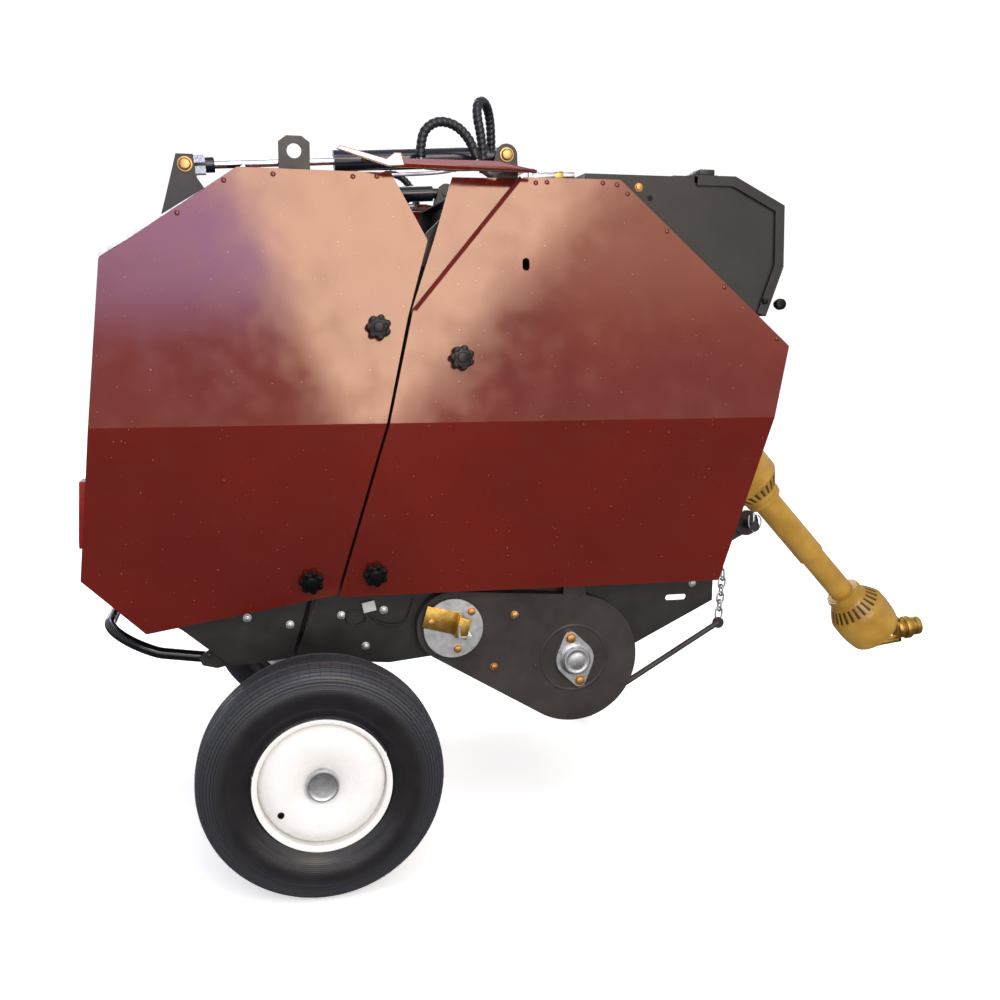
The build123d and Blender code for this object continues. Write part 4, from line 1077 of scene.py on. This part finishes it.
# %% Ram trim
ROD_OUT, PIN_OUT = 372, 395
PINS = {"front": ("chassis", 421, 1508), "rear": ("tailgate", -229, 1468)}   # body, x, z

for shape, out in each_side("rod_end_*", blue_black, "rod_*", "blue_black_paint"):
    rear, front = (-214, out * ROD_OUT, 1468.9), (-172, out * ROD_OUT, 1471.5)
    rod(shape, rear, front, 15.4, segments=32, edge=2)
for name, (body, x, z) in PINS.items():
    for shape, out in each_side(f"ram_{name}_pin_*", copper_bolt, body, "yellow_zinc"):
        foot = Vector((x, out * PIN_OUT, z))
        rod(shape, foot, foot + LEFTWARDS * out * 2.5, 15, segments=28, edge=0.6)
        rod(shape, foot, foot + LEFTWARDS * out * 8, 10, segments=24, edge=1.4)

# %% [markdown]
# ## Drive shaft guard
# The guard is moulded plastic: a bell at each end with a ring of ribs down its cone, dark slots
# between them drawn as painted shade, a clamp collar and two plain tubes, one sliding in the other.
# The bells are spun sections. One rib is drawn and `spin` with `use_duplicate` copies it round the
# shaft.

# %% Helpers for what stands on the shaft
REAR_JOINT = Vector((1120, 0, 812))
FRONT_JOINT = Vector((1598.6, 0, 290.9))
SHAFT = (FRONT_JOINT - REAR_JOINT).normalized()
ACROSS = SHAFT.cross(LEFTWARDS).normalized()
RIB_COUNT, RIB_THICK, RIB_SUNK = 24, 3, 1.5


def on_shaft(along, off=0.0):
    """A point on the shaft's line, moved off it in the machine's upright plane."""
    return REAR_JOINT + SHAFT * along + ACROSS * off


def copied_round(shape, verts):
    """Copy some vertices, and what lies wholly between them, round the shaft."""
    own = set(verts)
    geom = [*verts, *(e for e in shape.edges if set(e.verts) <= own)]
    geom += [f for f in shape.faces if set(f.verts) <= own]
    bmesh.ops.spin(
        shape, geom=geom, cent=REAR_JOINT, axis=SHAFT, angle=2 * math.pi * (RIB_COUNT - 1) / RIB_COUNT,
        steps=RIB_COUNT - 1, use_duplicate=True)


def ribs(shape, stations):
    """A ring of ribs: a thin strip along (distance, radius, height) stations, copied round."""
    foot = LEFTWARDS * (-RIB_THICK / 2)
    lower = [shape.verts.new(on_shaft(s, r - RIB_SUNK) + foot) for s, r, _ in stations]
    upper = [shape.verts.new(on_shaft(s, r + h) + foot) for s, r, h in stations]
    far = thicken(shape, shape.faces.new(lower + upper[::-1]), LEFTWARDS * RIB_THICK)
    copied_round(shape, [*lower, *upper, *far])


def on_axis(shape, profile, steps=72):
    """A profile of (distance from the rear joint, radius) spun about the shaft."""
    turned(shape, profile, REAR_JOINT, REAR_JOINT + SHAFT, steps)


def shell(shape, stations, thick=3.0):
    """A thin spun shell from (distance, radius) stations along the shaft."""
    inner = [(s, r - thick) for s, r in stations[::-1]]
    on_axis(shape, [*stations, *inner, stations[0]])


print("the joints stand", round((FRONT_JOINT - REAR_JOINT).length), "mm apart")

# %% [markdown]
# The rear bell opens towards the gearbox and the front one towards the tractor. A bell is one
# shell, and its collar and tube are another, because on the real guard the collar clamps them
# together. A plug and a core close the front bell, where the joint's inner yoke would be seen.

# %% Guard bells, ribs and tubes
# Shells are (distance from the rear joint, radius), and a rib adds its height.
REAR_BELL = [
    (-9, 73), (-7, 75), (8, 79), (20, 80.5), (24, 80.5), (26, 78), (30, 78), (32, 80.5), (100, 80.5),
    (104, 79.5), (106, 76), (146, 50)]
REAR_RIB = [(100, 78.5, 1.5), (106, 75, 3), (126, 62, 3.5), (146, 49, 2), (149, 48, 0.5)]
OUTER_TUBE = [
    (144, 50), (148, 51), (150, 48.8), (156, 48.8), (157, 50.4), (161, 50.4), (162, 48.8), (170, 48.8),
    (172, 47), (173, 40), (174, 36.8), (386, 36.8), (387.5, 36)]
INNER_TUBE = [
    (190, 32.8), (534, 32.8), (535, 40), (536.5, 47), (538, 48.8), (543, 48.8), (544, 50.4), (548, 50.4),
    (549, 48.8), (558, 48.8), (560, 51), (563, 50)]
FRONT_BELL = [
    (560, 50), (602, 76), (606, 79.5), (610, 80.5), (640, 81), (664, 80), (684, 77), (698, 73.5),
    (699.5, 72)]
FRONT_RIB = [(559, 49, 0.5), (562, 50, 2), (582, 62.5, 3.5), (602, 74.5, 3), (609, 78.5, 1.5)]

with piece("guard_rear_bell", guard, "shaft_rear", "guard_plastic", 32, "pto_guard_rear") as shape:
    shell(shape, REAR_BELL)
    ribs(shape, REAR_RIB)
    shell(shape, OUTER_TUBE, 2.6)
with piece("guard_front_bell", guard, "shaft_front", "guard_plastic", 32, "pto_guard_front") as shape:
    shell(shape, INNER_TUBE, 2.4)
    shell(shape, FRONT_BELL)
    ribs(shape, FRONT_RIB)
    on_axis(shape, [(536, 20), (536, 47), (562, 48), (562, 0)], 48)
    on_axis(shape, [(562, 0), (562, 20), (650, 20), (652, 18), (652, 0)], 32)

# %% [markdown]
# The slots between the ribs are shallow pockets in the real moulding, and they lie in shade. They
# are drawn as thin dark inlays of painted shade that follow the cone just under the ribs' tops,
# again one drawn and copied round.

# %% Painted shade in the slots between the ribs
SLOTS_ON = {    # the body, and (distance, radius) stations down the cone
    "guard_rear_slots": ("shaft_rear", [(112, 72.3), (126, 63.1), (140, 54)]),
    "guard_front_slots": ("shaft_front", [(568, 55), (582, 63.7), (596, 72.4)]),
}
SLOT_SHARE, SLOT_PROUD = 0.42, 0.5

for name, (body, stations) in SLOTS_ON.items():
    with piece(name, guard_slot_shade, body, "guard_plastic") as shape:
        rows = []
        for s, r in stations:
            for side in (-SLOT_SHARE, SLOT_SHARE):
                ray = Matrix.Rotation(math.pi / RIB_COUNT * (1 + side), 3, SHAFT) @ ACROSS
                rows.append(shape.verts.new(REAR_JOINT + SHAFT * s + ray * (r + SLOT_PROUD)))
        for first in range(0, len(rows) - 2, 2):
            shape.faces.new((rows[first], rows[first + 1], rows[first + 3], rows[first + 2]))
        copied_round(shape, rows)

# %% [markdown]
# ## Drive yoke
# The end yoke is forged: a round hub with a groove and a quick-release collar, two arms with
# round ends, and the cross between them with its four bearing cups. The hub's bore has six
# splines, which are thin keys set round it.

# %% End yoke and cross
YOKE_TIP = Vector((1730, 0, 306))
YOKE = (YOKE_TIP - FRONT_JOINT).normalized()
YOKE_UP = YOKE.cross(LEFTWARDS).normalized() * -1
SPLINES = 6
YOKE_HUB = [    # distance from the front joint, radius
    (62, 18), (62, 24), (66, 26.5), (76, 26.5), (80, 25), (84, 25), (85, 30.5), (88, 31.5), (99, 31.5),
    (102, 30), (103, 25.5), (111, 25.5), (112, 23), (116, 23), (117, 25.5), (130, 25.5), (132, 24),
    (132, 18), (62, 18)]
yoke_turn = Matrix((YOKE, LEFTWARDS, YOKE_UP)).transposed().to_4x4()
yoke_turn.translation = FRONT_JOINT


def on_yoke(along, up=0.0, out=0.0):
    """A point by the end yoke: along its hub's line, up across it, or out to the side."""
    return FRONT_JOINT + YOKE * along + YOKE_UP * up + LEFTWARDS * out


with piece("end_yoke_forging", yellow_zinc, "end_yoke", "yellow_zinc", 34, "pto_yoke_front") as shape:
    turned(shape, YOKE_HUB, FRONT_JOINT, FRONT_JOINT + YOKE, 64)
    for up in (-1, 1):
        low, high = spread(up, 23, 35)
        block(shape, (-2, -15, low), (70, 15, high), 3, yoke_turn)
        rod(shape, on_yoke(0, up * 24), on_yoke(0, up * 35), 15.5, segments=32, edge=2)
        rod(shape, on_yoke(0, up * 30), on_yoke(0, up * 36.5), 11, segments=28, edge=0.8)
    block(shape, (58, -15, -34), (70, 15, 34), 2.5, yoke_turn)
    for step in range(SPLINES):
        key_turn = yoke_turn @ Matrix.Rotation(2 * math.pi * step / SPLINES, 4, "X")
        block(shape, (64, -2.6, 15.2), (131, 2.6, 18.4), 0, key_turn)
    rod(shape, on_yoke(93, 0, 26), on_yoke(93, 0, 41), 5.5, segments=20, edge=1)
    rod(shape, on_yoke(0, -24), on_yoke(0, 24), 9, segments=24)
with piece("joint_cross", zinc, "end_yoke", "zinc") as shape:
    rod(shape, on_yoke(0, 0, -24), on_yoke(0, 0, 24), 9, segments=24)
    for side in (-1, 1):
        rod(shape, on_yoke(0, 0, side * 22), on_yoke(0, 0, side * 35), 12, segments=28, edge=1)
    dome(shape, on_yoke(10), YOKE, 4, 5)

# %% [markdown]
# ## Gearbox and hitch
# The gearbox's input flange is bolted all round, its lid has six bolts and a breather, and its
# sides have cast ribs. The link pins take a linchpin each: a thin pin with a sprung ring.

# %% Gearbox trim and linchpins
SHAFT_HEIGHT, FLANGE_X = 812, 1027
FLANGE_RADIUS, FLANGE_BOLTS = 66, 6
# The ring is (distance out, radius), the sprung ring's route is (x, distance out, z).
FLANGE_RING = [(0, 46), (2, 56), (12, 56), (13, 54), (13, 40)]
LINK_OUT = 384
LINCHPIN_RING = [
    (1020, 0, 722), (1034, 2, 722), (1040, 4, 698), (1022, 6, 677), (1003, 4, 698), (1008, 2, 720)]

with piece("gearbox_bolts", zinc, "chassis", "zinc") as shape:
    for step in range(FLANGE_BOLTS):
        angle = 2 * math.pi * step / FLANGE_BOLTS
        y, rise = FLANGE_RADIUS * math.cos(angle), FLANGE_RADIUS * math.sin(angle)
        hex_bolt(shape, (FLANGE_X, y, SHAFT_HEIGHT + rise), (1, 0, 0), 13, 8)
    for x in (895, 951, 1008):
        for y in (-74, 74):
            hex_bolt(shape, (x, y, 892), (0, 0, 1), 13, 8)
with piece("gearbox_casting_trim", cast, "chassis", "cast_grey") as shape:
    for x in (905, 950, 995):
        for low, high in ((-93, -87), (87, 93)):
            block(shape, (x - 3, low, 742), (x + 3, high, 878), 2)
    rod(shape, (930, 0, 890), (930, 0, 906), 11, segments=6, edge=1)
    rod(shape, (930, 0, 905), (930, 0, 914), 8, segments=24, edge=2)
    base, tip = (FLANGE_X + 1, 0, SHAFT_HEIGHT), (FLANGE_X + 2, 0, SHAFT_HEIGHT)
    turned(shape, FLANGE_RING, base, tip, 48)
for shape, out in each_side("linchpin_*", zinc, "chassis", "zinc"):
    rod(shape, (1020, out * LINK_OUT, 679), (1020, out * LINK_OUT, 724), 3.2, segments=16, edge=0.5)
    wire(shape, [(x, out * (LINK_OUT + y), z) for x, y, z in LINCHPIN_RING], 1.8)

# %% [markdown]
# ## Parking leg
# A pin through the sleeve locks the leg. It has a bent grip and rides with the chassis; the
# row of holes it can drop into is drawn on the leg as dark discs just proud of its faces, painted
# shade where the holes are.

# %% Leg pin, and painted shade for the holes in the leg
LEG_X, PIN_Z = 803, 600
PIN_BAR = [(262, 0), (285, 0), (326, 0), (338, 0)]      # y, height above the pin
PIN_GRIP = [(262, 0), (250, 2), (248, 22), (248, 40)]
LEG_FACES = [(284.7, 285.2), (324.8, 325.3)]            # where a disc begins and ends in y

with piece("leg_pin", zinc, "chassis", "zinc") as shape:
    for route, radius in ((PIN_BAR, 6), (PIN_GRIP, 5)):
        wire(shape, [(LEG_X, y, PIN_Z + rise) for y, rise in route], radius)
# Dark discs on the leg's faces: painted shade where the holes are.
with piece("leg_hole_shade", wire_black, "leg", "black_paint") as shape:
    for z in range(120, 500, 60):
        for low, high in LEG_FACES:
            rod(shape, (LEG_X, low, z), (LEG_X, high, z), 6.5, segments=24)

# %% [markdown]
# ## Drive behind the covers
# On the machine's left, sprockets on the roller shafts are linked by roller chains. They show
# only when a cover is opened. A sprocket is a disc whose rim faces are extruded in turn to make
# teeth. A chain is a row of rollers between two thin side bands.

# %% Sprockets and roller chains
CHAMBER_X, CHAMBER_Z, ROLLER_CIRCLE = 112, 925, 400
DRIVES = {      # the body, and the rollers' angles round the chamber
    "front": ("chassis", (50, 18, -14, -46)),
    "rear": ("tailgate", (96, 128, 160, 192, 226)),
}
TEETH, SPROCKET_RADIUS, SPROCKET_OUT = 17, 46, 383
CHAIN_PITCH = 12.7


def roller_place(angle_deg):
    """A roller's axis on the chamber's circle."""
    angle = math.radians(angle_deg)
    return CHAMBER_X + ROLLER_CIRCLE * math.cos(angle), CHAMBER_Z + ROLLER_CIRCLE * math.sin(angle)


def sprocket(shape, x, z):
    """A toothed disc with its hub."""
    radius = SPROCKET_RADIUS - 3
    made = bmesh.ops.create_cone(
        shape, cap_ends=True, segments=2 * TEETH, radius1=radius, radius2=radius, depth=6,
        matrix=aim((x, SPROCKET_OUT, z), (x, SPROCKET_OUT + 1, z)))
    rim = [f for f in {f for v in made["verts"] for f in v.link_faces} if len(f.verts) == 4]
    rim.sort(key=lambda f: math.atan2(f.calc_center_median().z - z, f.calc_center_median().x - x))
    bmesh.ops.inset_individual(shape, faces=rim[::2], thickness=0.8, depth=7)
    rod(shape, (x, SPROCKET_OUT - 3, z), (x, SPROCKET_OUT + 8, z), 26, segments=32, edge=1)
    rod(shape, (x, SPROCKET_OUT + 6, z), (x, SPROCKET_OUT + 10, z), 9, segments=6, edge=0.6)


def chain_strands(shape, first, second):
    """Both strands of a chain between two equal sprockets."""
    a, b = (Vector((x, SPROCKET_OUT, z)) for x, z in (first, second))
    run = b - a
    off = run.normalized().cross(LEFTWARDS) * (SPROCKET_RADIUS + 1)
    count = int(run.length / CHAIN_PITCH)
    for begins in (a - off, a + off):
        for index in range(count + 1):
            middle = begins + run * (index / count)
            rod(shape, middle - LEFTWARDS * 4.6, middle + LEFTWARDS * 4.6, 4, segments=10)
        for y in (-5.4, 4):
            low = begins + LEFTWARDS * y
            block(shape, (-4.4, -0.7, 0), (4.4, 0.7, run.length), 0, aim(low, low + run))


for name, (body, angles) in DRIVES.items():
    places = [roller_place(angle) for angle in angles]
    with piece(f"{name}_sprockets", zinc, body, "zinc") as shape:
        for x, z in places:
            sprocket(shape, x, z)
    with piece(f"{name}_drive_chains", roller_paint, body, "roller_grey") as shape:
        for first, second in zip(places[::2], places[1::2]):
            chain_strands(shape, first, second)

# %% [markdown]
# ## Tail lamps
# A lamp is a red lens on a black base. The CAD block is the lens, so only the base plate that
# it is screwed to is added, a little taller than the lens and following the sheet's lean.

# %% Lamp bases
# The base's outline, seen from the side, in (x, z).
LAMP_BASE = [(-453, 700), (-450.4, 700), (-439, 846), (-442, 846)]
for shape, out in each_side("lamp_base_*", knob_black, "tailgate", "hose_rubber"):
    plate(shape, LAMP_BASE, *spread(out, 349, 403))

# %% [markdown]
# ## Light
# Soft panels stand out on the machine's right, with their twins on its left. The covers' upper
# halves tip upwards, so they mirror the warm panel as a wide peach glow and the cooler one as a
# lilac haze. The lower halves tip down and mirror the ground, so they keep the enamel's own deep
# red. The low panel is the fill light that whitens the rims, and the high one brightens whatever
# looks up. Each panel melts away at its edges and is hidden from the camera itself.

# %% Soft panels
WARM, COOL, WHITE_LIGHT = (1.0, 0.87, 0.69, 1.0), (0.54, 0.54, 1.0, 1.0), (1.0, 1.0, 1.0, 1.0)
PANELS = {      # x ranges at the foot and the head, heights, distance out, colour, strength, fades
    "warm_panel": ((500, 461), (-600, 2800), (1250, 3900), 4500, WARM, 8.4, (130, 300, 260)),
    "cool_panel": ((-1500, 300), (-1500, 100), (2150, 3900), 4550, COOL, 4.7, (300, 350, 450)),
    "far_panel": ((1300, 3800), (1700, 3800), (2100, 3900), 4600, WARM, 2.0, (400, 400, 700)),
    "fill_panel": ((-2600, 3600), (-2600, 3600), (150, 1450), 5200, WHITE_LIGHT, 3.0, (300, 300, 200)),
    "high_panel": (
        (-2000, 2600), (-2000, 2600), (4600, 8200), 4500, (0.86, 0.8, 1.0, 1.0), 4.0, (400, 400, 400)),
}


def melting(tree, foot, head, heights, fades):
    """How much of a panel is left at a place: all of it inside, and nothing at its edges.

    The widths over which it melts are given for its low x, its high x, and both z.
    """
    place = add(tree, "SeparateXYZ", {"Vector": add(tree, "TexCoord").outputs["Object"]}).outputs
    low_z, high_z = (at(0, 0, z).z for z in heights)
    from_x, to_x, fade_z = (fade / 1000 for fade in fades)
    edges = [(place["Z"], low_z, low_z + fade_z), (place["Z"], high_z, high_z - fade_z)]
    for side, fade in enumerate((from_x, to_x)):
        edge_x = add(tree, "MapRange", {
            "Value": place["Z"], "From Min": low_z, "From Max": high_z,
            "To Min": at(foot[side], 0, 0).x, "To Max": at(head[side], 0, 0).x})
        inside = {0: edge_x, 1: place["X"]} if side else {0: place["X"], 1: edge_x}
        edges.append((add(tree, "Math", inside, operation="SUBTRACT"), 0.0, fade))
    left = 1.0
    for value, empty, full in edges:
        melt = add(tree, "MapRange", {"Value": value, "From Min": empty, "From Max": full},
                   interpolation_type="SMOOTHSTEP")
        left = add(tree, "Math", {0: left, 1: melt}, operation="MULTIPLY")
    return left


def panel(name, foot, head, heights, y, colour, strength, fades):
    """A glowing upright panel, in mm."""
    shape = bmesh.new()
    corners = [(foot[0], heights[0]), (foot[1], heights[0]), (head[1], heights[1]), (head[0], heights[1])]
    shape.faces.new([shape.verts.new((x, y, z)) for x, z in corners])
    mesh = to_mesh(shape, name)
    mesh.transform(TO_FRAME)
    material = bpy.data.materials.new(name)
    material.use_nodes = True
    tree = material.node_tree
    fill(tree.nodes["Material Output"], {"Surface": add(tree, "MixShader", {
        "Fac": melting(tree, foot, head, heights, fades), 1: add(tree, "BsdfTransparent"),
        2: add(tree, "Emission", {"Color": colour, "Strength": strength})})})
    made = show(name, mesh, material)
    made.visible_camera = False


for name, (foot, head, heights, away, colour, strength, fades) in PANELS.items():
    for out in SIDES.values():
        panel(name, foot, head, heights, out * away, colour, strength, fades)
print(len(PANELS), "panels on each side")

# %% [markdown]
# The sky is an even pale grey for everything except the camera, which sees pure white behind
# the machine. The floor does the same: it is pale, turns white towards the camera but keeps the
# contact shadow, and is darker in mirror-like reflections, like the yard such machines stand on.

# %% Sky and floor
FLOOR_HALF = 30
SKY_GREY, SKY_STRENGTH, SEEN_STRENGTH = (0.94, 0.97, 1.0, 1.0), 0.6, 1.05
PALE, YARD = (0.72, 0.72, 0.72, 1.0), (0.14, 0.135, 0.13, 1.0)

scene = bpy.context.scene
scene.view_settings.view_transform = "Standard"
world = bpy.data.worlds.new("world")
scene.world = world
world.use_nodes = True
sky = world.node_tree
fill(sky.nodes["World Output"], {"Surface": add(sky, "MixShader", {
    "Fac": add(sky, "LightPath").outputs["Is Camera Ray"],
    1: add(sky, "Background", {"Color": SKY_GREY, "Strength": SKY_STRENGTH}),
    2: add(sky, "Background", {"Color": WHITE_LIGHT, "Strength": SEEN_STRENGTH})})})

floor_material = bpy.data.materials.new("pale_floor")
floor_material.use_nodes = True
ground = floor_material.node_tree
rays = add(ground, "LightPath").outputs
lifted = add(ground, "AddShader", {
    0: add(ground, "BsdfDiffuse", {"Color": WHITE_LIGHT}),
    1: add(ground, "Emission", {"Color": WHITE_LIGHT, "Strength": 0.5})})
for_mirrors = add(ground, "MixShader", {
    "Fac": rays["Is Glossy Ray"], 1: add(ground, "BsdfDiffuse", {"Color": PALE}),
    2: add(ground, "BsdfDiffuse", {"Color": YARD})})
fill(ground.nodes["Material Output"], {"Surface": add(ground, "MixShader", {
    "Fac": rays["Is Camera Ray"], 1: for_mirrors, 2: lifted})})

shape = bmesh.new()
bmesh.ops.create_grid(shape, x_segments=1, y_segments=1, size=FLOOR_HALF)
floor = show("floor", to_mesh(shape, "floor"), floor_material)
print("stage ready")
